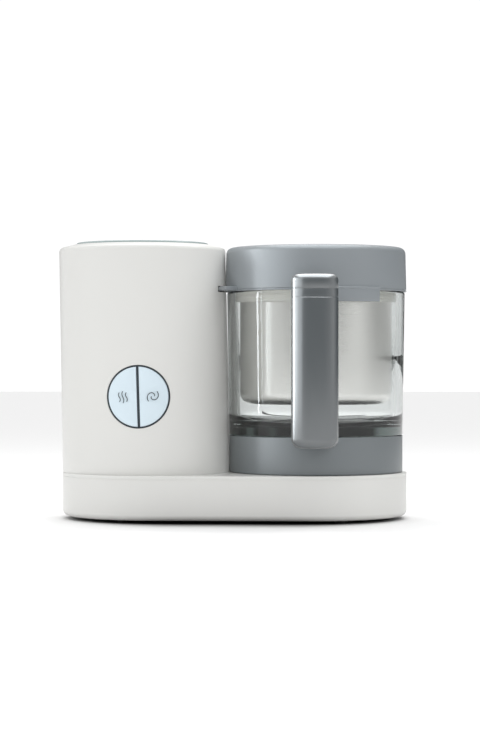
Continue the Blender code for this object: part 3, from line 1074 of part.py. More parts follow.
def make_handle(finish, axis):
    """The upright grip, its cap, its two arms to the glass and the ring, and the cap's screw."""
    middle_y = (HANDLE_BACK_Y + HANDLE_FRONT_Y) / 2
    low = RING_TOP_Z - HANDLE_LOW
    seam = SHOULDER_Z + HANDLE_HIGH
    rings = []
    for inset, rise in reversed(quarter(HANDLE_CORNER, 3)):
        outline = rounded_rectangle(HANDLE_WIDTH - 2 * inset * 0.8, HANDLE_DEPTH - inset,
                                    HANDLE_CORNER - inset * 0.4)
        rings.append([(x, y, low + HANDLE_CORNER - rise) for x, y in outline])
    outline = rounded_rectangle(HANDLE_WIDTH, HANDLE_DEPTH, HANDLE_CORNER)
    rings.append([(x, y, seam) for x, y in outline])
    grip = lofted("handle_grip", rings, finish["grey"], axis, location=(0, middle_y, 0))
    screw_low = seam - THROUGH - HANDLE_SCREW_LENGTH
    sink = seam - HANDLE_SCREW_SUNK
    screw_room = [
        (0, screw_low - GAP), (SCREW_RADIUS + GAP, screw_low - GAP), (SCREW_RADIUS + GAP, sink),
        (SCREW_HEAD_RADIUS + GAP, sink), (SCREW_HEAD_RADIUS + GAP, seam + THROUGH),
        (0, seam + THROUGH),
    ]
    boolean(grip, "DIFFERENCE", turned("grip_bore", screw_room, finish["grey"], axis,
                                       steps=SMALL_STEPS, location=(0, middle_y, 0)))
    screw = [
        (0, screw_low), (SCREW_RADIUS, screw_low), (SCREW_RADIUS, sink + GAP),
        (SCREW_HEAD_RADIUS, sink + GAP), (SCREW_HEAD_RADIUS, seam - THROUGH), (0, seam - THROUGH),
    ]
    turned("handle_screw", screw, finish["steel"], axis, steps=SMALL_STEPS,
           location=(0, middle_y, 0))

    cap_low = seam + GAP
    crown = HANDLE_CAP_HEIGHT - HANDLE_CAP_ROUND
    rings = [[(x, y, cap_low) for x, y in outline]]
    for inset, rise in quarter(HANDLE_CAP_ROUND, 3):
        shrunk = rounded_rectangle(HANDLE_WIDTH - 2 * inset, HANDLE_DEPTH - 2 * inset,
                                   HANDLE_CORNER - inset)
        rings.append([(x, y, cap_low + crown + rise - GAP) for x, y in shrunk])
    lofted("handle_cap", rings, finish["grey"], axis, location=(0, middle_y, 0))

    front = 3 * math.pi / 2
    angles = (front - SADDLE_SPAN / 2, front + SADDLE_SPAN / 2)
    arms = (
        ("handle_upper_arm", BOWL_RADIUS_HIGH, SHOULDER_Z - UPPER_ARM_DROP - ARM_HEIGHT, ARM_HEIGHT),
        ("handle_lower_arm", BOWL_RADIUS_LOW, low + LOWER_ARM_RISE, LOWER_ARM_HEIGHT),
    )
    for name, radius, arm_low, height in arms:
        near = radius + SADDLE_GAP
        saddle = sector(name, (near, near + SADDLE_THICKNESS), angles, arm_low, arm_low + height,
                        finish["grey"], axis, steps=4)
        arm = box(f"{name}_block", (-ARM_WIDTH / 2, HANDLE_BACK_Y + GAP, arm_low),
                  (ARM_WIDTH / 2, -near - SADDLE_THICKNESS * 0.5, arm_low + height),
                  finish["grey"], axis)
        boolean(saddle, "UNION", arm)


def main():
    """Clears the scene and builds every sub-assembly."""
    for old in list(bpy.data.objects):
        bpy.data.objects.remove(old)
    finish = {
        "white": material("white_plastic", (0.86, 0.86, 0.84), 0.35),
        "grey": material("grey_plastic", (0.26, 0.29, 0.31), 0.4),
        "dark": material("dark_plastic", (0.05, 0.055, 0.06), 0.5),
        "button": material("button_plastic", (0.66, 0.73, 0.78), 0.4),
        "cream": material("cream_plastic", (0.78, 0.76, 0.70), 0.5),
        "rubber": material("rubber", (0.04, 0.04, 0.04), 0.8),
        "glass": material("clear_glass", (0.95, 0.97, 0.97), 0.02),
        "steel": material("brushed_steel", (0.62, 0.60, 0.58), 0.3, 1.0),
        "brass": material("sintered_bronze", (0.60, 0.44, 0.22), 0.45, 1.0),
        "board": material("circuit_board", (0.05, 0.20, 0.12), 0.6),
    }
    origin = empty("frame_origin", FRAME_SHIFT)
    bowl_axis = empty("bowl_axis", (BOWL_X, 0, 0), origin)
    make_base(finish, origin)
    make_tower(finish, origin)
    make_tank_lid(finish, origin)
    make_boiler(finish, origin)
    make_motor(finish, origin)
    make_drive(finish, origin)
    make_controls(finish, origin)
    make_bowl(finish, bowl_axis)
    make_blade(finish, bowl_axis)
    make_basket(finish, bowl_axis)
    make_lid(finish, bowl_axis)
    make_handle(finish, bowl_axis)


main()
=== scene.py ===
"""Finish for the baby food maker: fine shells, clear glass, steel, icons and a pale studio."""

import json
import math

import bmesh
import bpy
from bpy.props import FloatProperty, FloatVectorProperty, PointerProperty
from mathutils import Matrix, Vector

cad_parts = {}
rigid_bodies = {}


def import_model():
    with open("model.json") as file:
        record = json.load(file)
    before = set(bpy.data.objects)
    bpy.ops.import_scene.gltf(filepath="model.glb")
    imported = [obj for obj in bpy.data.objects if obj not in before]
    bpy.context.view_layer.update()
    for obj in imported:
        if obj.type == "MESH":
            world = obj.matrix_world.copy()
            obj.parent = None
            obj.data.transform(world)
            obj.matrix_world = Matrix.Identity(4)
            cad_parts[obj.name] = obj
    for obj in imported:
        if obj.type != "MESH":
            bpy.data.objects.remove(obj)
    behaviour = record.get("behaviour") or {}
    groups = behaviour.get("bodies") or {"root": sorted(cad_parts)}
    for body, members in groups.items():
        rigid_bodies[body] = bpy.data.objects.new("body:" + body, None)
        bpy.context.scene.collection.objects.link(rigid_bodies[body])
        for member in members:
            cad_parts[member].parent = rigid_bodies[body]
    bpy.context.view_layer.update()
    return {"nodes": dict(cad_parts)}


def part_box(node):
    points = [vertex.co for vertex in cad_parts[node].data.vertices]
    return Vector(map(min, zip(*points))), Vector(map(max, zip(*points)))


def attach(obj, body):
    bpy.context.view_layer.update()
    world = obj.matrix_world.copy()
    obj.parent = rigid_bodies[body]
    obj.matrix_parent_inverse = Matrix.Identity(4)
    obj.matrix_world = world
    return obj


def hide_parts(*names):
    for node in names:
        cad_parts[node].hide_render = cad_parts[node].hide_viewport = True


bl_info = {
    "name": "Baby Food Maker Finish",
    "version": (1, 0, 0),
    "blender": (4, 5, 0),
    "location": "View3D > Sidebar > Food Maker",
    "description": "Builds the visible shells, glass, steel and studio round the packed model",
    "category": "Object",
}

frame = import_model()

FINE = 160      # segments round the large turned pieces
MEDIUM = 96
SMALL = 48
GAP = 0.0003
LUG_THICKNESS = 0.0035      # of the lid's safety lug, which the tower's slot takes


class Room:
    """The space that a CAD node takes up at rest."""

    def __init__(self, node):
        low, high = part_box(node)
        self.low = Vector(low)
        self.high = Vector(high)
        self.middle = (self.low + self.high) / 2
        self.size = self.high - self.low


BASE = Room("base_shell")
TOWER = Room("tower_shell")
TANK = Room("tank_lid")
GLASS = Room("bowl_glass")
RING = Room("bowl_base_ring")
LID = Room("lid_shell")
LINER = Room("lid_liner")
BASKET = Room("basket")
RIM = Room("basket_rim")
HUB = Room("blade_hub")
GRIP = Room("handle_grip")
CAP = Room("handle_cap")
BEZEL = Room("button_bezel")
COUPLING = Room("drive_coupling")
BUSH = Room("spindle_bush")
AXIS = GLASS.middle         # the bowl's axis
MIDDLE_Y = AXIS.y
DECK_Z = RING.low.z - GAP
TOWER_LOW_RADIUS = TOWER.size.y / 2
TOWER_LOW_X = BASE.low.x + TOWER_LOW_RADIUS
TOWER_HIGH_X = TANK.middle.x
TOWER_HIGH_RADIUS = TOWER_HIGH_X - TOWER.low.x


def length(name, description, default):
    """A size property in metres."""
    return FloatProperty(name=name, description=description, default=default, min=0.0,
                         precision=5, unit="LENGTH")


def amount(name, description, default):
    """A plain factor property."""
    return FloatProperty(name=name, description=description, default=default, min=0.0, precision=3)


def angle(name, description, degrees):
    """An angle property."""
    return FloatProperty(name=name, description=description, default=math.radians(degrees),
                         unit="ROTATION")


def colour(name, description, default):
    """A linear colour property."""
    return FloatVectorProperty(name=name, description=description, default=default, size=3,
                               min=0.0, max=1.0, subtype="COLOR")


class BaseSizes(bpy.types.PropertyGroup):
    """Sizes of the low white base."""

    foot_round: length("Foot round", "Radius where the side turns under", 0.0105)
    deck_round: length("Deck round", "Radius of the deck's edge", 0.0009)
    seam_drop: length("Seam drop", "From the deck down to the seam under its rim", 0.0034)
    seam_width: length("Seam width", "Width of the seam under the deck's rim", 0.0004)
    seam_depth: length("Seam depth", "Depth of the seam under the deck's rim", 0.0003)
    wall: length("Wall", "Thickness of the base's wall", 0.0028)
    boss_radius: length("Boss radius", "Radius of the raised disc under the bowl", 0.030)


class TowerSizes(bpy.types.PropertyGroup):
    """Sizes of the steam tower."""

    edge_round: length("Rim round", "Radius of the tower's upper rim", 0.0034)
    rim_rise: length("Rim rise", "How far the rim climbs towards the tank lid", 0.0030)
    wall: length("Wall", "Thickness of the tower's wall", 0.0028)
    lid_gap: length("Lid gap", "Groove between the tank lid and the tower's rim", 0.002)
    clearance: length("Clearance", "Room from the tower to the bowl and lid", 0.0009)
    slot_margin: length("Slot margin", "Room round the safety lug in its slot", 0.0011)


class BowlSizes(bpy.types.PropertyGroup):
    """Sizes of the glass bowl and its ring."""

    inner_low: length("Inner radius, low", "Inside radius just above the floor", 0.0726)
    inner_high: length("Inner radius, high", "Inside radius at the neck", 0.0752)
    floor_round: length("Floor round", "Inside radius where the wall meets the floor", 0.013)
    shoulder_round: length("Shoulder round", "Radius of the shoulder under the lid", 0.0016)
    neck_radius: length("Neck radius", "Outer radius of the neck under the lid", 0.0785)
    ring_wall: length("Ring wall", "Thickness of the grey ring", 0.003)
    ring_round: length("Ring round", "Radius of the ring's edges", 0.0009)


class LidSizes(bpy.types.PropertyGroup):
    """Sizes of the grey lid."""

    edge_round: length("Edge round", "Radius of the lid's upper edge", 0.0058)
    disc_radius: length("Disc radius", "Radius of the faint raised disc on top", 0.045)
    disc_rise: length("Disc rise", "Height of the raised disc", 0.0006)
    wall: length("Wall", "Thickness of the lid's skirt", 0.0026)
    lip_height: length("Lip height", "Height of the light band at the skirt's lower edge", 0.0011)
    tab_start: angle("Tab start", "Where the lock tab starts, about the bowl's axis", 283)
    tab_end: angle("Tab end", "Where the lock tab ends, about the bowl's axis", 313.5)
    tab_thickness: length("Tab thickness", "Thickness of the lock tab", 0.0017)
    lug_start: angle("Lug start", "Where the safety lug starts", 202.5)
    lug_end: angle("Lug end", "Where the safety lug ends", 212)


class HandleSizes(bpy.types.PropertyGroup):
    """Sizes of the upright handle."""

    squareness: amount("Squareness", "2 for an oval section, more for a squarer one", 2.3)
    end_round: length("End round", "Radius of the grip's lower end", 0.0085)
    cap_round: length("Cap round", "Radius of the cap's upper edge", 0.0058)
    seam: length("Seam", "Width and depth of the seams round the cap", 0.00045)
    arm_round: length("Arm round", "Radius along the arms' edges", 0.0022)


class BasketSizes(bpy.types.PropertyGroup):
    """Sizes of the steaming basket, its rim and the blade."""

    wall: length("Wall", "Thickness of the basket's sheet", 0.0012)
    floor_round: length("Floor round", "Radius where the wall meets the floor", 0.010)
    rib_depth: length("Rib depth", "Depth of the grooves round the cream rim", 0.0008)
    blade_reach: length("Blade reach", "From the axis to the blade's tips", 0.058)
    blade_thickness: length("Blade thickness", "Thickness of the blade's sheet", 0.0018)


class ButtonSizes(bpy.types.PropertyGroup):
    """Sizes of the round two-part button."""

    ring: length("Ring", "Width of the dark ring round the button", 0.0011)
    split: length("Split", "Width of the dark bar between the halves", 0.0018)
    tilt: angle("Tilt", "Lean of the split line", -1.7)
    proud: length("Proud", "How far the halves stand out of the tower", 0.0004)
    edge_round: length("Edge round", "Radius of the halves' front edges", 0.0005)
    icon_stroke: length("Icon stroke", "Width of the printed icons' lines", 0.0007)


class Finishes(bpy.types.PropertyGroup):
    """Colours of the materials."""

    white: colour("White plastic", "Satin white of the tower and base", (0.70, 0.70, 0.68))
    grey: colour("Grey plastic", "Cool grey of the lid", (0.232, 0.254, 0.270))
    ring: colour("Ring", "Darker grey of the ring under the bowl", (0.165, 0.183, 0.192))
    handle: colour("Handle", "Dark grey of the handle", (0.070, 0.081, 0.087))
    button: colour("Button", "Pale blue of the buttons", (0.66, 0.77, 0.84))
    ink: colour("Ink", "Dark slate of the ring, bar and icons", (0.030, 0.040, 0.050))
    cream: colour("Cream", "Cream of the basket's rim", (0.90, 0.88, 0.83))
    steel: colour("Steel", "Warm stainless steel of the basket", (0.90, 0.875, 0.85))
    tank: colour("Tank lid", "Grey green of the tank lid", (0.33, 0.40, 0.40))


class StudioSettings(bpy.types.PropertyGroup):
    """The camera and the soft light."""

    lens: amount("Lens", "Focal length in millimetres", 105.7)
    camera_x: length("Camera offset", "How far the camera stands right of the middle", 0.0908)
    camera_y: length("Camera distance", "How far the camera stands in front of the middle", 1.98425)
    camera_z: length("Camera height", "Height of the camera over the floor", 0.146)
    yaw: angle("Yaw", "Turn of the camera to the left", 2.403)
    pitch: angle("Pitch", "Downward tilt of the camera", 0.21)
    light: amount("Light", "Share of the softboxes' power", 1.0)
    ceiling: amount("Ceiling", "Brightness of the room's ceiling", 1.12)
    backdrop: amount("Backdrop", "Brightness of the backdrop in the camera's view", 1.05)


# ---------------------------------------------------------------------------
# Shader maths


MIX_A, MIX_B, MIX_OUT = 6, 7, 2     # the colour sockets of a Mix node


class Value:
    """A shader socket that Python arithmetic turns into Math nodes."""

    def __init__(self, look, socket):
        self.look = look
        self.socket = socket

    def _with(self, operation, first, second):
        return self.look.node("ShaderNodeMath", {"operation": operation}, {0: first, 1: second})

    def __add__(self, other):
        return self._with("ADD", self, other)

    __radd__ = __add__

    def __sub__(self, other):
        return self._with("SUBTRACT", self, other)

    def __rsub__(self, other):
        return self._with("SUBTRACT", other, self)

    def __mul__(self, other):
        return self._with("MULTIPLY", self, other)

    __rmul__ = __mul__

    def __pow__(self, other):
        return self._with("POWER", self, other)


class Nodes:
    """A node tree whose nodes are added by one method and joined by expressions."""

    def __init__(self, tree):
        self.tree = tree

    def node(self, kind, settings=None, inputs=None, output=0):
        """Adds a node, sets it up, and returns one of its outputs as a Value."""
        made = self.tree.nodes.new(kind)
        for key, value in (settings or {}).items():
            if key == "stops":
                ramp = made.color_ramp
                while len(ramp.elements) < len(value):
                    ramp.elements.new(1.0)
                for element, (place, shade) in zip(ramp.elements, value):
                    element.position = place
                    element.color = (shade, shade, shade, 1.0)
            else:
                setattr(made, key, value)
        for key, value in (inputs or {}).items():
            self.feed(made.inputs[key], value)
        return Value(self, made.outputs[output])

    def parted(self, vector):
        """A vector's three parts."""
        split = self.node("ShaderNodeSeparateXYZ", None, {"Vector": vector})
        return [Value(self, split.socket.node.outputs[axis]) for axis in "XYZ"]

    def feed(self, socket, value):
        """Links a Value to a socket, or sets a plain number, colour or vector on it."""
        if isinstance(value, Value):
            self.tree.links.new(value.socket, socket)
        elif hasattr(value, "__len__"):
            wanted = len(socket.default_value)
            socket.default_value = tuple(value) + (1.0,) * (wanted - len(value))
        else:
            socket.default_value = value


class Look(Nodes):
    """A material with a Principled shader."""

    def __init__(self, name):
        self.material = bpy.data.materials.new(name)
        self.material.use_nodes = True
        super().__init__(self.material.node_tree)
        self.shader = self.tree.nodes["Principled BSDF"]

    def set(self, **inputs):
        """Sets or links the shader's own sockets, named with _ for a space."""
        for key, value in inputs.items():
            self.feed(self.shader.inputs[key.replace("_", " ")], value)
        return self

    def place(self, scale=(1, 1, 1)):
        """Object coordinates, scaled."""
        spot = self.node("ShaderNodeTexCoord", output="Object")
        return self.node("ShaderNodeMapping", None, {"Vector": spot, "Scale": scale})

    def noise(self, scale, detail=2.0, roughness=0.5, stretch=(1, 1, 1)):
        """Noise over the piece, from 0 to 1."""
        return self.node("ShaderNodeTexNoise", None,
                         {"Vector": self.place(stretch), "Scale": scale, "Detail": detail,
                          "Roughness": roughness})

    def mixed(self, factor, first, second):
        """A colour between two others."""
        return self.node("ShaderNodeMix", {"data_type": "RGBA"},
                         {"Factor": factor, MIX_A: first, MIX_B: second}, output=MIX_OUT)

    def bump(self, height, strength, distance):
        """A bumped normal from a height in metres times distance."""
        return self.node("ShaderNodeBump", None,
                         {"Strength": strength, "Distance": distance, "Height": height})


def shaded(base, share):
    """A colour made darker or lighter by a share."""
    return tuple(min(1.0, channel * share) for channel in base)


def plastic(name, base, roughness, grain, sheen_change=0.03, coat=0.0, spread=0.02,
            ior=1.49):
    """Moulded plastic: a faintly cloudy colour, a fine spark-eroded grain and rubbed gloss."""
    look = Look(name)
    cloud = look.noise(9.0, 3.0)
    rub = look.noise(34.0, 4.0, 0.6)
    pores = look.noise(2600.0, 2.0, 0.6)
    look.set(
        Base_Color=look.mixed(cloud, shaded(base, 1 - spread), shaded(base, 1 + spread)),
        Roughness=rub * sheen_change + (roughness - sheen_change / 2),
        Normal=look.bump(pores, grain, 0.00008),
        Coat_Weight=coat,
    )
    look.shader.inputs["IOR"].default_value = ior
    look.shader.inputs["Coat Roughness"].default_value = 0.24
    return look.material


def rubber(name, base, roughness=0.75):
    """Rubber or silicone with a dusty bloom."""
    look = Look(name)
    bloom = look.noise(60.0, 4.0, 0.6)
    skin = look.noise(1500.0, 3.0)
    look.set(Base_Color=look.mixed(bloom, shaded(base, 0.85), shaded(base, 1.25)),
             Roughness=bloom * 0.12 + (roughness - 0.06), Normal=look.bump(skin, 0.3, 0.00015))
    return look.material


def metal(name, base, roughness, stretch, lines=900.0, depth=0.12, spread=0.06):
    """Brushed metal: long fine lines in its colour, its gloss and its surface."""
    look = Look(name)
    grain = look.noise(lines, 4.0, 0.65, stretch)
    haze = look.noise(14.0, 3.0)
    look.set(
        Base_Color=look.mixed(grain, shaded(base, 1 - spread), shaded(base, 1 + spread)),
        Metallic=1.0,
        Roughness=grain * 0.10 + haze * 0.06 + (roughness - 0.08),
        Normal=look.bump(grain, depth, 0.00002),
    )
    return look.material


def clear_glass(name, density=30.0):
    """Thick pressed glass, faintly uneven, green where it is looked along."""
    look = Look(name)
    wave = look.noise(38.0, 1.0)
    look.set(Base_Color=(0.985, 0.992, 0.990), Roughness=0.0, Transmission_Weight=1.0,
             Normal=look.bump(wave, 0.12, 0.0006))
    look.shader.inputs["IOR"].default_value = 1.48
    depth = look.node("ShaderNodeVolumeAbsorption", None,
                      {"Color": (0.51, 0.57, 0.56), "Density": density})
    look.feed(look.tree.nodes["Material Output"].inputs["Volume"], depth)
    return look.material


def circuit_board(name):
    """Green solder mask with copper runs under it."""
    look = Look(name)
    runs = look.node("ShaderNodeTexBrick", None,
                     {"Vector": look.place(), "Scale": 160.0, "Mortar Size": 0.03,
                      "Color1": (0.02, 0.12, 0.06, 1), "Color2": (0.03, 0.17, 0.08, 1),
                      "Mortar": (0.10, 0.30, 0.14, 1)})
    look.set(Base_Color=runs, Roughness=0.35)
    return look.material


# Brightness of the room's walls against the turn from straight in front, in degrees.
WALLS = ((-180, 1.0), (-175, 1.0), (-172, 0.05), (-152, 0.05), (-146, 0.75), (-95, 0.75),
         (-70, 0.75), (-58, 0.60), (-45, 0.42), (-15, 0.18), (20, 0.16), (45, 0.60), (62, 0.95),
         (75, 0.65), (92, 0.20), (104, 0.02), (140, 0.02), (143, 0.30), (147, 0.30), (150, 0.02),
         (158, 0.02), (161, 0.25), (164, 0.02), (173, 0.03), (176, 1.0), (180, 1.0))

# Softboxes: power, place as (turn from the front, distance, height), size, what sees it,
# which pieces it lights (all of them if none is named) and whether others shade them.
SHINY = ("lid_", "grip", "handle_", "bowl_ring")
SOFTBOXES = {
    "key": (2.2, (-70, 1.3, 0.30), (0.5, 1.1), "diffuse", (), True),
    "fill": (5.0, (16, 1.6, 0.55), (1.0, 0.8), "diffuse", (), True),
    "top": (7.0, (178, 0.42, 1.25), (1.3, 0.30), "both", (), True),
    "edge": (5.0, (112, 1.3, 0.30), (0.5, 1.0), "diffuse", ("tower_body",), False),
    "rim": (5.0, (-10, 1.6, 0.50), (1.0, 0.8), "diffuse", ("rim_band",), False),
    "strip": (10.0, (-82, 1.15, 0.30), (0.22, 1.1), "glossy", SHINY + ("glass_bowl",), True),
    "panel_side": (9.0, (-88, 1.2, 0.25), (0.45, 1.1), "glossy", SHINY, True),
    "panel_near": (7.5, (-62, 1.2, 0.25), (0.50, 1.1), "glossy", SHINY, True),
    "panel_front": (3.4, (-40, 1.2, 0.25), (0.45, 1.1), "glossy", SHINY, True),
    "overhead": (46.0, (-6, 0.35, 1.45), (1.8, 1.5), "glossy", SHINY, True),
}

# Painted contact shadow: paleness of the floor's colour against the distance from the base's edge,
# in millimetres.
PAINTED_SHADOW = ((-30, 0.0), (-12, 0.04), (0, 0.12), (12, 0.38), (23, 0.66), (35, 0.90), (52, 0.98),
           (75, 1.0))
PAINTED_SHADOW_START = -30
PAINTED_SHADOW_SPAN = 120
PAINTED_SHADOW_SHORT = 0.030   # how much sooner the contact shade ends at the base's two ends
FLOOR_HALF = 8.0
AIM_HEIGHT = 0.14       # the softboxes point at the bowl's axis at this height

FINISH = {}


class FOODMAKER_OT_finishes(bpy.types.Operator):
    """Make every material of the food maker"""

    bl_idname = "foodmaker.finishes"
    bl_label = "Make finishes"

    def execute(self, context):
        tint = context.scene.foodmaker_finishes
        FINISH.update(
            white=plastic("Satin White Moulding", tint.white, 0.36, 0.06, spread=0.006),
            grey=plastic("Cool Grey Moulding", tint.grey, 0.38, 0.06),
            ring=plastic("Ring Grey Moulding", tint.ring, 0.38, 0.06),
            handle=plastic("Handle Grey Moulding", tint.handle, 0.22, 0.015, 0.01, 1.0, ior=1.85),
            tank=plastic("Tank Lid Moulding", tint.tank, 0.30, 0.12),
            button=plastic("Pale Blue Keys", tint.button, 0.38, 0.10),
            ink=plastic("Slate Ink", tint.ink, 0.35, 0.10),
            cream=plastic("Cream Rim", tint.cream, 0.42, 0.14),
            dark=plastic("Dark Moulding", (0.025, 0.027, 0.030), 0.45, 0.3),
            liner=plastic("Pale Liner", (0.70, 0.70, 0.68), 0.4, 0.2),
            rubber=rubber("Black Rubber", (0.022, 0.021, 0.020)),
            seal=rubber("Grey Silicone", (0.62, 0.63, 0.62), 0.45),
            glass=clear_glass("Pressed Glass"),
            basket=metal("Spun Steel", tint.steel, 0.29, (0.05, 0.05, 1.0), 2600.0, 0.02, 0.025),
            blade=metal("Ground Blade Steel", (0.26, 0.26, 0.27), 0.30, (1.0, 0.1, 0.3)),
            sheet=metal("Sheet Steel", (0.60, 0.60, 0.60), 0.35, (0.1, 0.1, 1.0)),
            zinc=metal("Zinc Plated Steel", (0.52, 0.53, 0.55), 0.32, (1.0, 1.0, 1.0)),
            bronze=metal("Sintered Bronze", (0.50, 0.34, 0.16), 0.45, (1.0, 1.0, 1.0)),
            motor=plastic("Painted Motor Can", (0.10, 0.11, 0.12), 0.4, 0.3),
            board=circuit_board("Circuit Board"),
        )
        return {"FINISHED"}


# ---------------------------------------------------------------------------
# Mesh tools


def filleted(corners, steps=6, loop=False):
    """An outline whose corners, given as (x, y, radius), are turned into arcs."""
    points = []
    count = len(corners)
    for index, (x, y, radius) in enumerate(corners):
        ends = not loop and index in (0, count - 1)
        if radius <= 0 or ends:
            points.append((x, y))
            continue
        here = Vector((x, y))
        to_last = Vector(corners[index - 1][:2]) - here
        to_next = Vector(corners[(index + 1) % count][:2]) - here
        half = to_last.angle(to_next) / 2
        reach = min(radius / math.tan(half), to_last.length * 0.499, to_next.length * 0.499)
        radius = reach * math.tan(half)
        first = to_last.normalized()
        second = to_next.normalized()
        centre = here + (first + second).normalized() * (radius / math.sin(half))
        start = here + first * reach - centre
        end = here + second * reach - centre
        sweep = start.angle_signed(end)
        for step in range(steps + 1):
            turned_by = -sweep * step / steps
            cosine = math.cos(turned_by)
            sine = math.sin(turned_by)
            points.append((centre.x + start.x * cosine - start.y * sine,
                           centre.y + start.x * sine + start.y * cosine))
    return points


def cleaned(mesh):
    """Joins a bmesh's doubled points and turns its faces outwards."""
    bmesh.ops.remove_doubles(mesh, verts=mesh.verts, dist=1e-7)
    bmesh.ops.recalc_face_normals(mesh, faces=mesh.faces)
    return mesh


def mesh_object(name, mesh):
    """Links an object made of a bmesh, which is used up."""
    data = bpy.data.meshes.new(name)
    mesh.to_mesh(data)
    mesh.free()
    made = bpy.data.objects.new(name, data)
    bpy.context.scene.collection.objects.link(made)
    return made


def smooth(data, crease=32.0):
    """Shades a mesh smooth but for the edges that turn more than the crease, in degrees."""
    data.shade_smooth()
    data.set_sharp_from_angle(angle=math.radians(crease))


def piece(name, mesh, finish, body, crease=32.0, replaced=()):
    """Makes an object of a bmesh that rides on a CAD body and stands for CAD nodes."""
    made = mesh_object(name, cleaned(mesh))
    smooth(made.data, crease)
    made.data.materials.append(FINISH[finish])
    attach(made, body)
    if replaced:
        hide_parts(*replaced)
    return made


def turned_mesh(profile, centre, steps, loop=False):
    """A bmesh turned about a vertical axis from (radius, height) points."""
    mesh = bmesh.new()
    points = [mesh.verts.new((centre[0] + radius, centre[1], height)) for radius, height in profile]
    edges = [mesh.edges.new(pair) for pair in zip(points, points[1:])]
    if loop:
        edges.append(mesh.edges.new((points[-1], points[0])))
    bmesh.ops.spin(mesh, geom=points + edges, cent=(centre[0], centre[1], 0), axis=(0, 0, 1),
                   angle=2 * math.pi, steps=steps, use_merge=True)
    return mesh


def lofted_mesh(rings, loop=False, caps=True):
    """A bmesh skinned over rings of equally many points."""
    mesh = bmesh.new()
    made = [[mesh.verts.new(point) for point in ring] for ring in rings]
    pairs = zip(made, made[1:] + made[:1]) if loop else zip(made, made[1:])
    for one, other in pairs:
        for index in range(len(one)):
            after = (index + 1) % len(one)
            mesh.faces.new((one[index], one[after], other[after], other[index]))
    if caps and not loop:
        mesh.faces.new(made[0])
        mesh.faces.new(made[-1])
    return mesh


def arc(centre, radius, start, end, steps):
    """Points along a circle's arc in the XY plane."""
    turns = [start + (end - start) * step / steps for step in range(steps + 1)]
    return [(centre[0] + radius * math.cos(a), centre[1] + radius * math.sin(a)) for a in turns]


def prism_mesh(outline, low, high):
    """A bmesh of an outline extruded upwards."""
    return lofted_mesh([[(x, y, low) for x, y in outline], [(x, y, high) for x, y in outline]])


def tool(name, mesh):
    """A passing cutter, with its faces outward."""
    return mesh_object(name, cleaned(mesh))


def worked(target, *steps):
    """Applies Boolean steps, given as (operation, cutter), removes the cutters and shades anew."""
    for operation, cutter in steps:
        change = target.modifiers.new("cut", "BOOLEAN")
        change.operation = operation
        change.solver = "EXACT"
        change.object = cutter
    bpy.context.view_layer.update()
    graph = bpy.context.evaluated_depsgraph_get()
    result = bpy.data.meshes.new_from_object(target.evaluated_get(graph))
    target.modifiers.clear()
    old = target.data
    target.data = result
    bpy.data.meshes.remove(old)
    for _, cutter in steps:
        bpy.data.objects.remove(cutter)
    smooth(result)


def bevelled(mesh, width, segments=3, crease=30.0):
    """Rounds the sharp edges of a bmesh."""
    cleaned(mesh)
    limit = math.radians(crease)
    sharp = [edge for edge in mesh.edges
             if len(edge.link_faces) == 2 and edge.calc_face_angle(0) > limit]
    bmesh.ops.bevel(mesh, geom=sharp, offset=width, offset_type="OFFSET", segments=segments,
                    profile=0.5, affect="EDGES", clamp_overlap=True)
    return mesh


# ---------------------------------------------------------------------------
# Shapes shared by several pieces


def stadium(inset, height):
    """The base's outline at a height, inset from its edge."""
    end = BASE.size.y / 2
    reach = BASE.size.x / 2 - end
    middle = BASE.middle
    radius = end - inset
    points = arc((middle.x + reach, middle.y), radius, -math.pi / 2, math.pi / 2, SMALL)
    points += arc((middle.x - reach, middle.y), radius, math.pi / 2, 3 * math.pi / 2, SMALL)
    return [(x, y, height) for x, y in points]


def tower_share(height):
    """How far up the tower a height is, from 0 to 1."""
    return (height - TOWER.low.z) / TOWER.size.z


def tower_radius(height):
    """The tower's radius at a height."""
    return TOWER_LOW_RADIUS + (TOWER_HIGH_RADIUS - TOWER_LOW_RADIUS) * tower_share(height)


def tower_x(height):
    """The tower's centre at a height."""
    return TOWER_LOW_X + (TOWER_HIGH_X - TOWER_LOW_X) * tower_share(height)


def tower_ring(height, inset):
    """The tower's outline at a height, inset from its surface."""
    points = arc((tower_x(height), MIDDLE_Y), tower_radius(height) - inset, 0, 2 * math.pi, FINE)
    return [(x, y, height) for x, y in points[:-1]]


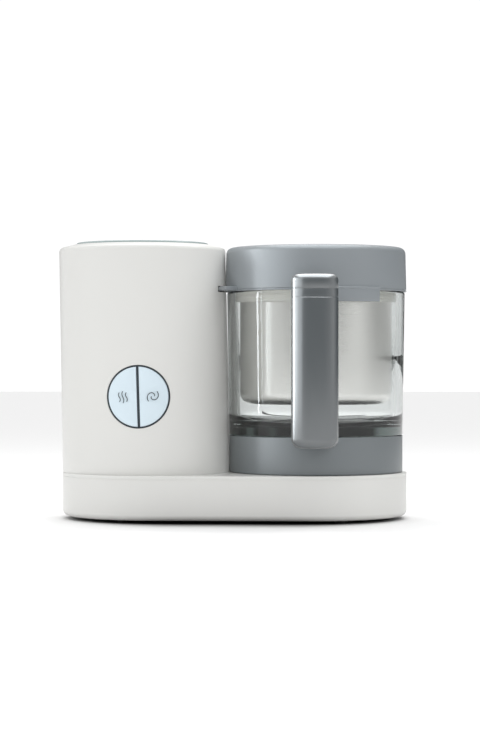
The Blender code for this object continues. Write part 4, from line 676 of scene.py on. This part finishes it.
class FOODMAKER_OT_base(bpy.types.Operator):
    """Build the low white base with its rounded foot, seam and drive boss"""

    bl_idname = "foodmaker.base"
    bl_label = "Build base"

    def execute(self, context):
        sizes = context.scene.foodmaker_base
        low = BASE.low.z
        seam_z = DECK_Z - sizes.seam_drop
        half = sizes.seam_width / 2
        ledge = sizes.wall + 0.003      # how far in the deck closes
        outside = filleted([
            (sizes.foot_round, low, 0), (0, low, sizes.foot_round),
            (0, seam_z - half, 0.0003), (sizes.seam_depth, seam_z - half, 0),
            (sizes.seam_depth, seam_z + half, 0), (0, seam_z + half, 0.0003),
            (0, DECK_Z, sizes.deck_round), (ledge, DECK_Z, 0),
        ], steps=8)
        top = DECK_Z - sizes.wall
        inside = [(ledge, top), (sizes.wall, top - 0.002),
                  (sizes.wall, low + sizes.foot_round), (sizes.foot_round + sizes.wall, low)]
        rings = [stadium(inset, height) for inset, height in inside + outside]
        piece("base_body", lofted_mesh(rings), "white", "base",
              replaced=("base_shell",))
        hole = BUSH.size.x / 2 - 0.003 + GAP
        boss_top = min(COUPLING.low.z - (BUSH.high.z - BASE.high.z) - GAP, BASE.high.z)
        boss_low = DECK_Z - 0.0005
        profile = filleted([
            (hole, boss_low, 0), (sizes.boss_radius, boss_low, 0),
            (sizes.boss_radius, boss_top, 0.0012), (hole, boss_top, 0),
        ], loop=True)
        piece("drive_boss", turned_mesh(profile, AXIS, MEDIUM, loop=True), "white", "base")
        return {"FINISHED"}


class FOODMAKER_OT_tower(bpy.types.Operator):
    """Build the tower's shell with its rim, slot and button opening"""

    bl_idname = "foodmaker.tower"
    bl_label = "Build tower"

    def execute(self, context):
        sizes = context.scene.foodmaker_tower
        low = DECK_Z + 0.00005              # a hair above the deck
        top = TOWER.high.z
        mouth = TANK.size.x / 2 + sizes.lid_gap
        rim_inset = TOWER_HIGH_RADIUS - mouth
        flat_from = MIDDLE_Y + 0.040    # behind this the rim no longer climbs
        fade = 0.030
        section = filleted([
            (0, low, 0), (0, top, sizes.edge_round), (rim_inset, top + 0.0004, 0.0008),
            (rim_inset, top - sizes.wall, 0), (sizes.wall, top - sizes.wall, 0),
            (sizes.wall, low, 0),
        ], steps=8, loop=True)
        rings = []
        for inset, height in section:
            lift = sizes.rim_rise * max(0.0, inset / rim_inset) if height > top - 0.002 else 0
            ring = []
            for x, y, z in tower_ring(height, inset):
                front = min(1.0, max(0.0, (flat_from - y) / fade))
                ring.append((x, y, z + lift * front))
            rings.append(ring)
        shell = piece("tower_body", lofted_mesh(rings, loop=True), "white", "base",
                      replaced=("tower_shell",))
        room = sizes.clearance
        bowl = RING.size.x / 2 + room
        shoulder = GLASS.size.x / 2 + room
        skirt = LID.high.x - AXIS.x + room
        under = LID.low.z + 0.0085      # the hollow widens here from the glass to the lid
        step = LID.low.z + 0.0090
        beside = tool("bowl_room", turned_mesh([
            (0, low - 0.01), (bowl, low - 0.01), (bowl, RING.high.z), (shoulder, under),
            (skirt, step), (skirt, top + 0.02), (0, top + 0.02),
        ], AXIS, FINE))
        lining = piece("tower_lining", turned_mesh([
            (bowl, low + 0.0005), (bowl + sizes.wall, low + 0.0005),
            (bowl + sizes.wall, RING.high.z), (skirt + sizes.wall, under),
            (skirt + sizes.wall, top - 0.0005), (skirt, top - 0.0005), (skirt, step),
            (shoulder, under), (bowl, RING.high.z),
        ], AXIS, FINE, loop=True), "white", "base")
        inner = tool("inner_room", lofted_mesh([tower_ring(low + 0.0002, sizes.wall * 0.3),
                                                tower_ring(top - 0.0002, sizes.wall * 0.3)]))
        disc = arc((BEZEL.middle.x, BEZEL.middle.z), BEZEL.size.x / 2 + GAP, 0, 2 * math.pi,
                   MEDIUM)[:-1]
        opening = tool("button_opening", lofted_mesh(
            [[(x, MIDDLE_Y - depth, z) for x, z in disc] for depth in (0.060, 0.090)]))
        slot_low = LID.low.z + 0.0110 - sizes.slot_margin
        slot_high = slot_low + LUG_THICKNESS + 2 * sizes.slot_margin
        start, end = math.radians(-23), math.radians(-2)
        spot = (tower_x(slot_low), MIDDLE_Y)
        outline = arc(spot, TOWER_HIGH_RADIUS + 0.006, start, end, 8)
        outline += arc(spot, TOWER_HIGH_RADIUS - 0.0045, end, start, 8)
        slot = tool("lug_slot", prism_mesh(outline, slot_low, slot_high))
        slot_too = slot.copy()
        bpy.context.scene.collection.objects.link(slot_too)
        worked(shell, ("DIFFERENCE", beside), ("DIFFERENCE", opening), ("DIFFERENCE", slot))
        worked(lining, ("INTERSECT", inner), ("DIFFERENCE", slot_too))
        return {"FINISHED"}


class FOODMAKER_OT_tank_lid(bpy.types.Operator):
    """Build the round tank lid with its hinge barrel"""

    bl_idname = "foodmaker.tank_lid"
    bl_label = "Build tank lid"

    def execute(self, context):
        top = TANK.high.z
        radius = TANK.size.x / 2
        thickness = 0.0072
        low = top - thickness
        plug = Room("tank_lid_seal").size.x / 2 - 0.0025
        profile = filleted([
            (0, TANK.low.z, 0), (plug, TANK.low.z, 0.001), (plug, low, 0), (radius, low, 0.0006),
            (radius, top - 0.0002, 0.0022), (0, top, 0),
        ])
        piece("tank_disc", turned_mesh(profile, (TANK.middle.x, MIDDLE_Y), FINE), "tank",
              "tank_lid", replaced=("tank_lid",))
        pin = Room("tank_lid_pin").middle
        barrel_radius = 0.0032
        left, right = pin.x - 0.012, pin.x + 0.012
        barrel = arc((pin.y, pin.z), barrel_radius, 0, 2 * math.pi, 24)[:-1]
        rings = [[(x, y, z) for y, z in barrel] for x in (left, right)]
        piece("tank_hinge_barrel", bevelled(lofted_mesh(rings), 0.0004), "tank", "tank_lid")
        low_z = low + 0.0003
        front = pin.y - 0.010
        tongue = [(left, front), (right, front), (right, pin.y), (left, pin.y)]
        piece("tank_hinge_tongue", bevelled(prism_mesh(tongue, low_z, pin.z + 0.0018), 0.0005),
              "tank", "tank_lid")
        return {"FINISHED"}


class FOODMAKER_OT_bowl(bpy.types.Operator):
    """Build the thick glass bowl and the grey ring under it"""

    bl_idname = "foodmaker.bowl"
    bl_label = "Build bowl"

    def execute(self, context):
        sizes = context.scene.foodmaker_bowl
        outer_low = RING.size.x / 2
        outer_high = GLASS.size.x / 2
        seat = outer_low - sizes.ring_wall - GAP
        ring_top = RING.high.z
        shoulder = GLASS.high.z - 0.0177    # the neck above it goes up into the lid
        floor = GLASS.low.z + 0.010         # a thick pressed floor
        hole = 0.0110                       # round the blade's bearing
        profile = filleted([
            (hole, GLASS.low.z, 0.0004), (seat, GLASS.low.z, 0.0010),
            (seat, ring_top + GAP, 0.0004), (outer_low, ring_top + GAP, 0.0008),
            (outer_high, shoulder, sizes.shoulder_round), (sizes.neck_radius, shoulder, 0.0010),
            (sizes.neck_radius, GLASS.high.z, 0.0014),
            (sizes.inner_high, GLASS.high.z, 0.0014),
            (sizes.inner_low + 0.0008, GLASS.low.z + 0.075, 0.2),       # the wall bows gently
            (sizes.inner_low, floor, sizes.floor_round), (hole, floor, 0.0006),
        ], steps=10, loop=True)
        piece("glass_bowl", turned_mesh(profile, AXIS, FINE, loop=True), "glass", "bowl",
              replaced=("bowl_glass",))
        edge = sizes.ring_round
        wall = outer_low - sizes.ring_wall
        web = ring_top - 0.007              # the shelf that carries the glass
        web_top = web + 0.003
        profile = filleted([
            (hole, web, 0), (wall, web, 0.002), (wall, RING.low.z, 0.0004),
            (outer_low, RING.low.z, edge), (outer_low, ring_top, edge),
            (wall, ring_top, 0.0004), (wall, web_top, 0), (hole, web_top, 0),
        ], loop=True)
        piece("bowl_ring", turned_mesh(profile, AXIS, FINE, loop=True), "ring", "bowl",
              replaced=("bowl_base_ring",))
        return {"FINISHED"}


def curved_plate(radii, angles, low, high, round_by, steps):
    """A bevelled plate that follows a circle about the bowl's axis."""
    outline = arc(AXIS, radii[1], angles[0], angles[1], steps)
    outline += arc(AXIS, radii[0], angles[1], angles[0], steps)
    return bevelled(prism_mesh(outline, low, high), round_by)


class FOODMAKER_OT_lid(bpy.types.Operator):
    """Build the grey lid with its lower lip, lock tab, safety lug and raised disc"""

    bl_idname = "foodmaker.lid"
    bl_label = "Build lid"

    def execute(self, context):
        sizes = context.scene.foodmaker_lid
        liner_room = 0.0044         # from the liner out to the skirt
        skirt_drop = 0.0228         # from the liner's lower edge down to the skirt's
        skirt = LINER.size.x / 2 + liner_room + sizes.wall
        low = LINER.low.z - skirt_drop
        top = LID.high.z - sizes.disc_rise
        inner = skirt - sizes.wall
        lip = low + sizes.lip_height
        draft = 0.0009              # how much the skirt narrows towards its top
        groove = 0.0005             # depth of the line over the lip
        profile = filleted([
            (0, LID.high.z, 0), (sizes.disc_radius - 0.0012, LID.high.z, 0.002),
            (sizes.disc_radius + 0.0012, top, 0.002),
            (skirt - draft, top - 0.0004, sizes.edge_round), (skirt, lip + 0.0009, 0.0002),
            (skirt - groove, lip + 0.0006, 0.0002), (skirt - groove, lip + 0.0002, 0.0002),
            (skirt + 0.0001, lip, 0.0002),
            (skirt + 0.0001, low, 0.0003), (inner, low, 0.0003),
            (inner - draft, top - sizes.wall, 0.003), (0, top - sizes.wall, 0),
        ], steps=8)
        piece("lid_cap", turned_mesh(profile, AXIS, FINE), "grey", "lid",
              replaced=("lid_shell",))
        inside = skirt - 0.0004
        outside = inside + sizes.tab_thickness
        high = low + 0.0029
        lug_low = low + 0.0006
        tab = (sizes.tab_start, sizes.tab_end)
        lug = (sizes.lug_start, sizes.lug_end)
        lug_reach = 0.0120          # how far the lug stands out of the skirt
        for name, radii, angles, heights, edge, steps in (
            ("lid_lock_tab", (inside, outside - 0.0004), tab, (LID.low.z, high - 0.0008),
             0.0006, 24),
            ("lid_tab_rib", (inside, outside), tab, (high - 0.0022, high), 0.0007, 24),
            ("lid_safety_lug", (skirt - 0.0010, skirt + lug_reach), lug,
             (lug_low, lug_low + LUG_THICKNESS), 0.0005, 6),
        ):
            piece(name, curved_plate(radii, angles, *heights, edge, steps), "grey", "lid")
        return {"FINISHED"}


def oval_section(half_width, half_depth, power):
    """A squared oval about the origin."""
    points = []
    for step in range(MEDIUM):
        turn = 2 * math.pi * (step + 0.5) / MEDIUM
        across, back = math.cos(turn), math.sin(turn)
        points.append((half_width * math.copysign(abs(across) ** (2 / power), across),
                       half_depth * math.copysign(abs(back) ** (2 / power), back)))
    return points


class FOODMAKER_OT_handle(bpy.types.Operator):
    """Build the upright grip, its seamed cap and the two arms"""

    bl_idname = "foodmaker.handle"
    bl_label = "Build handle"

    def execute(self, context):
        sizes = context.scene.foodmaker_handle
        middle = GRIP.middle
        width, depth = GRIP.size.x, GRIP.size.y

        def section(shrink, height):
            outline = oval_section(width / 2 - shrink, depth / 2 - 0.75 * shrink, sizes.squareness)
            return [(middle.x + x, middle.y + y, height) for x, y in outline]

        def rounds(radius, low, rising, steps=8):
            turns = [math.pi / 2 * step / steps for step in range(steps + 1)]
            pairs = [(radius * (1 - math.cos(a)), radius * math.sin(a)) for a in turns]
            if rising:
                return [section(inset, low + rise) for inset, rise in pairs]
            return [section(inset, low - rise) for inset, rise in reversed(pairs)]

        seam = sizes.seam
        rings = rounds(sizes.end_round, GRIP.low.z + sizes.end_round, False)
        height = GRIP.high.z - 0.0075
        rings += [section(0, height - 0.0009), section(seam * 0.35, height - 0.0002),
                  section(seam, height), section(seam, height + 0.0003),
                  section(0, height + 0.0004)]
        height = GRIP.high.z
        rings += [section(0, height - 0.0006), section(seam * 0.5, height)]
        piece("grip", lofted_mesh(rings), "handle", "bowl", crease=40,
              replaced=("handle_grip",))
        rings = [section(seam * 0.2, CAP.low.z - 0.0002), section(0, CAP.low.z + 0.0001)]
        crown = CAP.high.z - sizes.cap_round
        rings += rounds(sizes.cap_round, crown, True)
        piece("grip_cap", lofted_mesh(rings), "handle", "bowl", crease=40,
              replaced=("handle_cap",))
        for node in ("handle_upper_arm", "handle_lower_arm"):
            arm = Room(node)
            span = math.radians(12)
            front = 1.5 * math.pi
            radius = (RING if node == "handle_lower_arm" else GLASS).size.x / 2 + 0.0005
            outline = arc(AXIS, radius, front + span, front - span, 12)
            half = 0.012
            foot = AXIS.y - radius - 0.0032
            corners = [(AXIS.x - half * 1.25, foot), (AXIS.x - half, foot - 0.003),
                       (AXIS.x - half, arm.low.y), (AXIS.x + half, arm.low.y),
                       (AXIS.x + half, foot - 0.003), (AXIS.x + half * 1.25, foot)]
            mesh = prism_mesh(outline + corners, arm.low.z, arm.high.z)
            bevel = min(sizes.arm_round, arm.size.z * 0.3)
            piece(node + "_cover", bevelled(mesh, bevel, 3, 50), "handle", "bowl",
                  replaced=(node,))
        return {"FINISHED"}


DRAIN_SLOTS = 10
WINGS = ((190, 0.0085), (370, 0.0015))      # where each blade wing points, and how far it rises


class FOODMAKER_OT_basket(bpy.types.Operator):
    """Build the spun steel basket, its ribbed cream rim and the curved blade"""

    bl_idname = "foodmaker.basket"
    bl_label = "Build basket and blade"

    def execute(self, context):
        sizes = context.scene.foodmaker_basket
        radius = BASKET.size.x / 2
        inner = radius - sizes.wall
        low, high = BASKET.low.z, BASKET.high.z
        profile = filleted([
            (0, low, 0), (radius, low, sizes.floor_round), (radius, high, 0.0004),
            (inner, high, 0.0004),
            (inner, low + sizes.wall, sizes.floor_round - sizes.wall), (0, low + sizes.wall, 0),
        ], steps=8)
        basket = piece("steel_basket", turned_mesh(profile, AXIS, FINE), "basket", "basket",
                       replaced=("basket",))
        cuts = []
        near, far, half = 0.018, 0.050, 0.0025      # the drain slots' ends and half width
        outline = filleted([(near, -half, 0.0024), (far, -half, 0.0024), (far, half, 0.0024),
                            (near, half, 0.0024)], 4, loop=True)
        for number in range(DRAIN_SLOTS):
            turn = 2 * math.pi * number / DRAIN_SLOTS
            spun = [(AXIS.x + x * math.cos(turn) - y * math.sin(turn),
                     AXIS.y + x * math.sin(turn) + y * math.cos(turn)) for x, y in outline]
            cuts.append(("DIFFERENCE", tool("slot", prism_mesh(spun, low - 0.001, low + 0.003))))
        worked(basket, *cuts)

        inside = radius + GAP
        outside = inside + 0.0040
        rib = sizes.rib_depth
        top = RIM.high.z
        shelf = GLASS.high.z + GAP
        corners = [(inside, RIM.low.z, 0.0003), (outside, RIM.low.z, 0.0008)]
        for number in range(1, 4):
            groove = RIM.low.z + 0.0034 * number
            corners += [(outside, groove - 0.0005, 0.0003),
                        (outside - rib, groove - 0.0003, 0.0002),
                        (outside - rib, groove + 0.0003, 0.0002),
                        (outside, groove + 0.0005, 0.0003)]
        edge = RIM.size.x / 2
        corners += [(outside, shelf, 0.0004), (edge, shelf, 0.0004), (edge, top, 0.0006),
                    (inside, top, 0.0006)]
        piece("rim_band", turned_mesh(filleted(corners, 4, loop=True), AXIS, FINE, loop=True),
              "cream", "basket", replaced=("basket_rim",))
        build_blade(sizes)
        return {"FINISHED"}


def build_blade(sizes):
    """Two ground wings on one plate round the hub, one swept up and one nearly flat."""
    node = Room("blade")
    seat = node.low.z + 0.0001
    waist = 0.0088
    sections = 26
    start = waist + 0.0006
    root_width = 0.015
    sweep = math.radians(26)
    thick = sizes.blade_thickness
    for number, (turn, rise) in enumerate(WINGS):
        rings = []
        for step in range(sections + 1):
            share = step / sections
            reach = start + (sizes.blade_reach - start) * share
            width = root_width * (1 - 0.78 * share ** 2) * (1 if step < sections else 0.55)
            heading = math.radians(turn) + sweep * share ** 1.5
            height = seat + rise * share ** 2
            along = Vector((math.cos(heading), math.sin(heading)))
            across = Vector((-along.y, along.x)) * width / 2
            middle = AXIS.xy + along * reach
            edge = middle + across
            back = middle - across
            ground = middle + across * 0.45
            rings.append([(*back, height + 0.0003), (*(back + across * 0.06), height),
                          (*ground, height), (*edge, height + thick * 0.42),
                          (*edge, height + thick * 0.58), (*ground, height + thick),
                          (*(back + across * 0.06), height + thick),
                          (*back, height + thick - 0.0003)])
        wing = piece(f"blade_wing_{number + 1}", lofted_mesh(rings), "blade", "blade",
                     crease=25)
        if number == 0:
            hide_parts("blade")
    plate = filleted([(waist, node.low.z, 0.0002), (0.0135, node.low.z, 0.0004),
                      (0.0135, node.low.z + 0.0016, 0.0004), (waist, node.low.z + 0.0016, 0.0002)],
                     3, loop=True)
    piece("blade_plate", turned_mesh(plate, AXIS, MEDIUM, loop=True), "blade", "blade")
    low, top = HUB.low.z, HUB.high.z
    radius = HUB.size.x / 2
    hub = filleted([
        (0.0043, low, 0), (radius, low, 0.0004), (radius, low + 0.0013, 0.0004),
        (0.0085, low + 0.0013, 0), (0.0085, low + 0.0072, 0.0008), (0.0063, top - 0.002, 0.002),
        (0.0048, top, 0.0015), (0, top, 0),
    ])
    piece("hub_cap", turned_mesh(hub, AXIS, SMALL), "dark", "blade",
          replaced=("blade_hub",))


def on_tower(x, z, out):
    """A point on the tower's front surface, moved outwards."""
    centre = tower_x(z)
    radius = tower_radius(z) + out
    return Vector((x, MIDDLE_Y - math.sqrt(max(0.0, radius ** 2 - (x - centre) ** 2)), z))


class FOODMAKER_OT_button(bpy.types.Operator):
    """Build the round two-part button with its dark ring, bar and printed icons"""

    bl_idname = "foodmaker.button"
    bl_label = "Build button"

    def execute(self, context):
        sizes = context.scene.foodmaker_button
        centre = BEZEL.middle
        outer = BEZEL.size.x / 2
        inner = outer - sizes.ring
        cosine, sine = math.cos(sizes.tilt), math.sin(sizes.tilt)

        def leaned(x, z):
            """A point of the flat layout, leaned with the split line."""
            return centre.x + x * cosine + z * sine, centre.z - x * sine + z * cosine

        rings = []
        turns = [2 * math.pi * step / FINE for step in range(FINE)]
        sunk = -0.010       # how deep the ring and the bar reach into the tower
        lip = 0.0002        # how far the ring stands out, and the chamfer of its edges
        section = [(outer, sunk), (outer, 0.0), (outer - lip, lip), (inner + lip, lip),
                   (inner, 0.0), (inner, sunk)]
        for radius, out in section:
            rings.append([on_tower(centre.x + radius * math.cos(a), centre.z + radius * math.sin(a),
                                   out) for a in turns])
        piece("button_ring", lofted_mesh(rings, loop=True), "ink", "base",
              replaced=("button_bezel",))
        floor = [leaned(x, z) for x, z in arc((0, 0), inner + 0.0005, 0, 2 * math.pi, SMALL)[:-1]]
        back = [[on_tower(x, z, out) for x, z in floor] for out in (-0.0105, -0.0095)]
        piece("button_back", lofted_mesh(back), "ink", "base")
        half = sizes.split / 2
        bar = []
        steps = 40
        for step in range(steps + 1):
            z = (inner + 0.0003) * (2 * step / steps - 1)
            row = []
            for x, out in ((-half, sunk), (-half, 0.0001), (half, 0.0001), (half, sunk)):
                row.append(on_tower(*leaned(x, z), out))
            bar.append(row)
        piece("button_bar", lofted_mesh(bar), "ink", "base")

        for node, side in (("steam_button", -1), ("blend_button", 1)):
            radius = inner - GAP * 0.8
            rings = []
            edge = sizes.edge_round
            rounds = [(0.0, -0.0050), (0.0, sizes.proud - edge),
                      (edge * 0.3, sizes.proud - edge * 0.3), (edge, sizes.proud)]
            for shrink, out in rounds:
                reach = radius - shrink
                flat = half + GAP * 0.8 + shrink
                limit = math.acos(flat / reach)
                points = arc((0, 0), reach, -limit, limit, 64)
                chord = [(flat, reach * math.sin(limit) * (1 - 2 * step / 24))
                         for step in range(1, 24)]
                outline = [(side * x, z) for x, z in points + chord]
                rings.append([on_tower(*leaned(x, z), out) for x, z in outline])
            mesh = lofted_mesh(rings, caps=False)
            close_key(mesh, len(rings[-1]))
            piece(node + "_face", mesh, "button", node, replaced=(node,))
        self.print_icons(sizes, leaned)
        return {"FINISHED"}

    def print_icons(self, sizes, leaned):
        """Three rising steam waves on the left and a whirl of two arms on the right."""
        strokes = []
        waves_x, whirl_x = -0.0137, 0.0132
        for offset in (-0.0032, 0.0, 0.0032):
            wave = []
            for step in range(21):
                share = step / 20
                reach = 0.0042 if offset else 0.0054
                wave.append((waves_x + offset + 0.0008 * math.sin(share * 2 * math.pi),
                             -reach + 2 * reach * share))
            strokes.append(("steam_button", wave))
        for start in (0, 180):
            arm = []
            for step in range(25):
                share = step / 24
                turn = math.radians(start + 230 * share)
                reach = 0.0012 + 0.0046 * share
                arm.append((whirl_x + reach * math.cos(turn), reach * math.sin(turn)))
            strokes.append(("blend_button", arm))
        for number, (body, line) in enumerate(strokes, 1):
            rings = []
            for index, (x, z) in enumerate(line):
                before = Vector(line[max(0, index - 1)])
                after = Vector(line[min(len(line) - 1, index + 1)])
                along = (after - before).normalized()
                across = Vector((-along.y, along.x)) * sizes.icon_stroke / 2
                if index in (0, len(line) - 1):
                    across *= 0.6
                spot = Vector((x, z))
                row = []
                for side, out in ((-1, 0.0), (-1, 0.00006), (1, 0.00006), (1, 0.0)):
                    point = spot + across * side
                    row.append(on_tower(*leaned(point.x, point.y), sizes.proud + out))
                rings.append(row)
            piece(f"icon_stroke_{number}", lofted_mesh(rings), "ink", body)


def close_key(mesh, count):
    """Closes a key's back with one face and its front with triangles that follow the tower."""
    points = list(mesh.verts)
    mesh.faces.new(points[:count])
    front = mesh.faces.new(points[-count:])
    front.normal_update()
    bmesh.ops.triangulate(mesh, faces=[front])


# ---------------------------------------------------------------------------
# Carried-over CAD nodes

CARRIED = {
    "rubber": (*(f"foot_{number}" for number in range(1, 5)), "tank_lid_seal", "boiler_seal",
               "steam_nozzle", "steam_pipe", "drive_belt", "cable_gland", "bowl_gasket"),
    "zinc": (*(f"cover_screw_{number}" for number in range(1, 5)), "tank_lid_pin",
             "motor_shaft", "drive_spindle", "bowl_spindle", "handle_screw"),
    "dark": ("bottom_cover", "safety_switch", "thermostat", "motor_pulley", "drive_pulley",
             "drive_coupling", "driven_coupling", "steam_switch", "blend_switch"),
    "white": ("tower_top",),
    "sheet": ("boiler", "boiler_heater"),
    "motor": ("motor_can",),
    "bronze": ("spindle_bush",),
    "board": ("control_board", "power_board"),
    "grey": ("bowl_bearing", "bowl_lock_nut"),
    "liner": ("lid_liner",),
    "seal": ("lid_seal",),
}


class FOODMAKER_OT_carried(bpy.types.Operator):
    """Give the CAD nodes that stay in sight or inside their finishes"""

    bl_idname = "foodmaker.carried"
    bl_label = "Finish carried-over parts"

    def execute(self, context):
        for finish, nodes in CARRIED.items():
            for node in nodes:
                data = frame["nodes"][node].data
                data.materials.clear()
                data.materials.append(FINISH[finish])
                smooth(data)
        return {"FINISHED"}


class FOODMAKER_OT_stage(bpy.types.Operator):
    """Set up the pale floor with a painted contact shadow, the soft lights, the white room and the
    camera
    """

    bl_idname = "foodmaker.stage"
    bl_label = "Set up studio"

    def execute(self, context):
        scene = context.scene
        studio = scene.foodmaker_studio
        look = Look("Pale Floor")
        # The floor's colour darkens towards and under the base's edge: a painted contact shadow,
        # not one cast by the lamps.
        spot = look.node("ShaderNodeTexCoord", output="Object")
        x, y, _ = look.parted(spot)
        end = BASE.size.y / 2
        along = look.node("ShaderNodeMath", {"operation": "ABSOLUTE"}, {0: x - BASE.middle.x})
        along = look.node("ShaderNodeMath", {"operation": "MAXIMUM"},
                          {0: along - (BASE.size.x / 2 - end - PAINTED_SHADOW_SHORT), 1: 0.0})
        across = y - BASE.middle.y
        away = (along * along + across * across) ** 0.5 - end
        stops = [((distance - PAINTED_SHADOW_START) / PAINTED_SHADOW_SPAN, shade) for distance, shade in PAINTED_SHADOW]
        share = away * (1000 / PAINTED_SHADOW_SPAN) - PAINTED_SHADOW_START / PAINTED_SHADOW_SPAN
        shade = look.node("ShaderNodeValToRGB", {"stops": stops}, {"Fac": share})
        # The near-black colour mixed in here is the darkest tone of the painted shadow.
        look.set(Base_Color=look.mixed(shade, (0.05, 0.045, 0.045), (0.95, 0.95, 0.95)),
                 Roughness=0.9)
        mesh = bmesh.new()
        bmesh.ops.create_grid(mesh, x_segments=2, y_segments=2, size=FLOOR_HALF)
        floor = mesh_object("floor", mesh)
        floor.data.materials.append(look.material)

        for name, box in SOFTBOXES.items():
            self.softbox(scene, name, studio.light, *box)
        self.build_room(scene, studio)

        camera = bpy.data.cameras.new("camera")
        camera.lens = studio.lens
        camera.sensor_width = 36.0
        camera.clip_end = 50.0
        view = bpy.data.objects.new("camera", camera)
        view.location = (studio.camera_x, -studio.camera_y, studio.camera_z)
        view.rotation_euler = (math.radians(90) - studio.pitch, 0, studio.yaw)
        scene.collection.objects.link(view)
        scene.camera = view
        scene.view_settings.view_transform = "Standard"
        return {"FINISHED"}

    def softbox(self, scene, name, share, power, place, size, seen_by, pieces, shaded):
        """A rectangular light aimed at the bowl, as SOFTBOXES gives it."""
        turn, distance, height = place
        lamp = bpy.data.lights.new(name, "AREA")
        lamp.shape = "RECTANGLE"
        lamp.size, lamp.size_y = size
        lamp.energy = power * share
        made = bpy.data.objects.new(name, lamp)
        heading = math.radians(turn)
        made.location = (AXIS.x + distance * math.sin(heading),
                         AXIS.y - distance * math.cos(heading), height)
        aim = Vector((AXIS.x, AXIS.y, AIM_HEIGHT)) - made.location
        made.rotation_euler = aim.to_track_quat("-Z", "Y").to_euler()
        scene.collection.objects.link(made)
        if seen_by == "glossy":
            lamp.color = (0.90, 0.96, 1.0)
            made.visible_diffuse = False
        if seen_by == "diffuse":
            made.visible_glossy = False
            made.visible_transmission = False
        if pieces:
            lit = bpy.data.collections.new(name + " lights")
            for found in scene.objects:
                if found.type == "MESH" and found.name.startswith(pieces):
                    lit.objects.link(found)
            made.light_linking.receiver_collection = lit
        if not shaded:
            shade = bpy.data.collections.new(name + " shades")
            shade.objects.link(scene.objects["floor"])
            made.light_linking.blocker_collection = shade

    def build_room(self, scene, studio):
        """A white backdrop, dark flags beside it, a grey room in front and a bright ceiling."""
        world = bpy.data.worlds.new("studio_room")
        world.use_nodes = True
        scene.world = world
        room = Nodes(world.node_tree)
        sky = room.tree.nodes["Background"]
        room.feed(sky.inputs["Color"], (1.0, 1.0, 1.0))
        heading = room.node("ShaderNodeTexCoord", output="Generated")
        x, y, z = room.parted(heading)
        around = room.node("ShaderNodeMath", {"operation": "ARCTAN2"}, {0: x, 1: -1 * y})
        share = around * (0.5 / math.pi) + 0.5
        stops = [((turn + 180) / 360, shade) for turn, shade in WALLS]
        walls = room.node("ShaderNodeValToRGB", {"stops": stops}, {"Fac": share})
        rise = room.node("ShaderNodeMapRange", {"interpolation_type": "SMOOTHSTEP"},
                         {"Value": z, "From Min": 0.30, "From Max": 0.65})
        # The walls give way to the ceiling as a ray climbs. Only the camera sees the backdrop.
        level = walls * (1 - rise) + studio.ceiling * rise
        seen = room.node("ShaderNodeLightPath", output="Is Camera Ray")
        room.feed(sky.inputs["Strength"], level * (1 - seen) + studio.backdrop * seen)


class FOODMAKER_PT_panel(bpy.types.Panel):
    """Lists the steps of the food maker's finish"""

    bl_idname = "FOODMAKER_PT_panel"
    bl_label = "Food Maker"
    bl_space_type = "VIEW_3D"
    bl_region_type = "UI"
    bl_category = "Food Maker"

    def draw(self, context):
        for step in STEPS:
            self.layout.operator(step.bl_idname)


GROUPS = {
    "foodmaker_base": BaseSizes,
    "foodmaker_tower": TowerSizes,
    "foodmaker_bowl": BowlSizes,
    "foodmaker_lid": LidSizes,
    "foodmaker_handle": HandleSizes,
    "foodmaker_basket": BasketSizes,
    "foodmaker_button": ButtonSizes,
    "foodmaker_finishes": Finishes,
    "foodmaker_studio": StudioSettings,
}
STEPS = (
    FOODMAKER_OT_finishes,
    FOODMAKER_OT_base,
    FOODMAKER_OT_tower,
    FOODMAKER_OT_tank_lid,
    FOODMAKER_OT_bowl,
    FOODMAKER_OT_lid,
    FOODMAKER_OT_handle,
    FOODMAKER_OT_basket,
    FOODMAKER_OT_button,
    FOODMAKER_OT_carried,
    FOODMAKER_OT_stage,
)


def register():
    """Registers the settings, the steps and the panel."""
    for name, group in GROUPS.items():
        bpy.utils.register_class(group)
        setattr(bpy.types.Scene, name, PointerProperty(type=group))
    for step in STEPS:
        bpy.utils.register_class(step)
    bpy.utils.register_class(FOODMAKER_PT_panel)


def unregister():
    """Removes what register added."""
    bpy.utils.unregister_class(FOODMAKER_PT_panel)
    for step in reversed(STEPS):
        bpy.utils.unregister_class(step)
    for name, group in GROUPS.items():
        delattr(bpy.types.Scene, name)
        bpy.utils.unregister_class(group)


def main():
    """Registers the settings, steps and panel, then builds everything in order."""
    register()
    for step in STEPS:
        family, action = step.bl_idname.split(".")
        getattr(getattr(bpy.ops, family), action)()


if __name__ == "__main__":
    main()
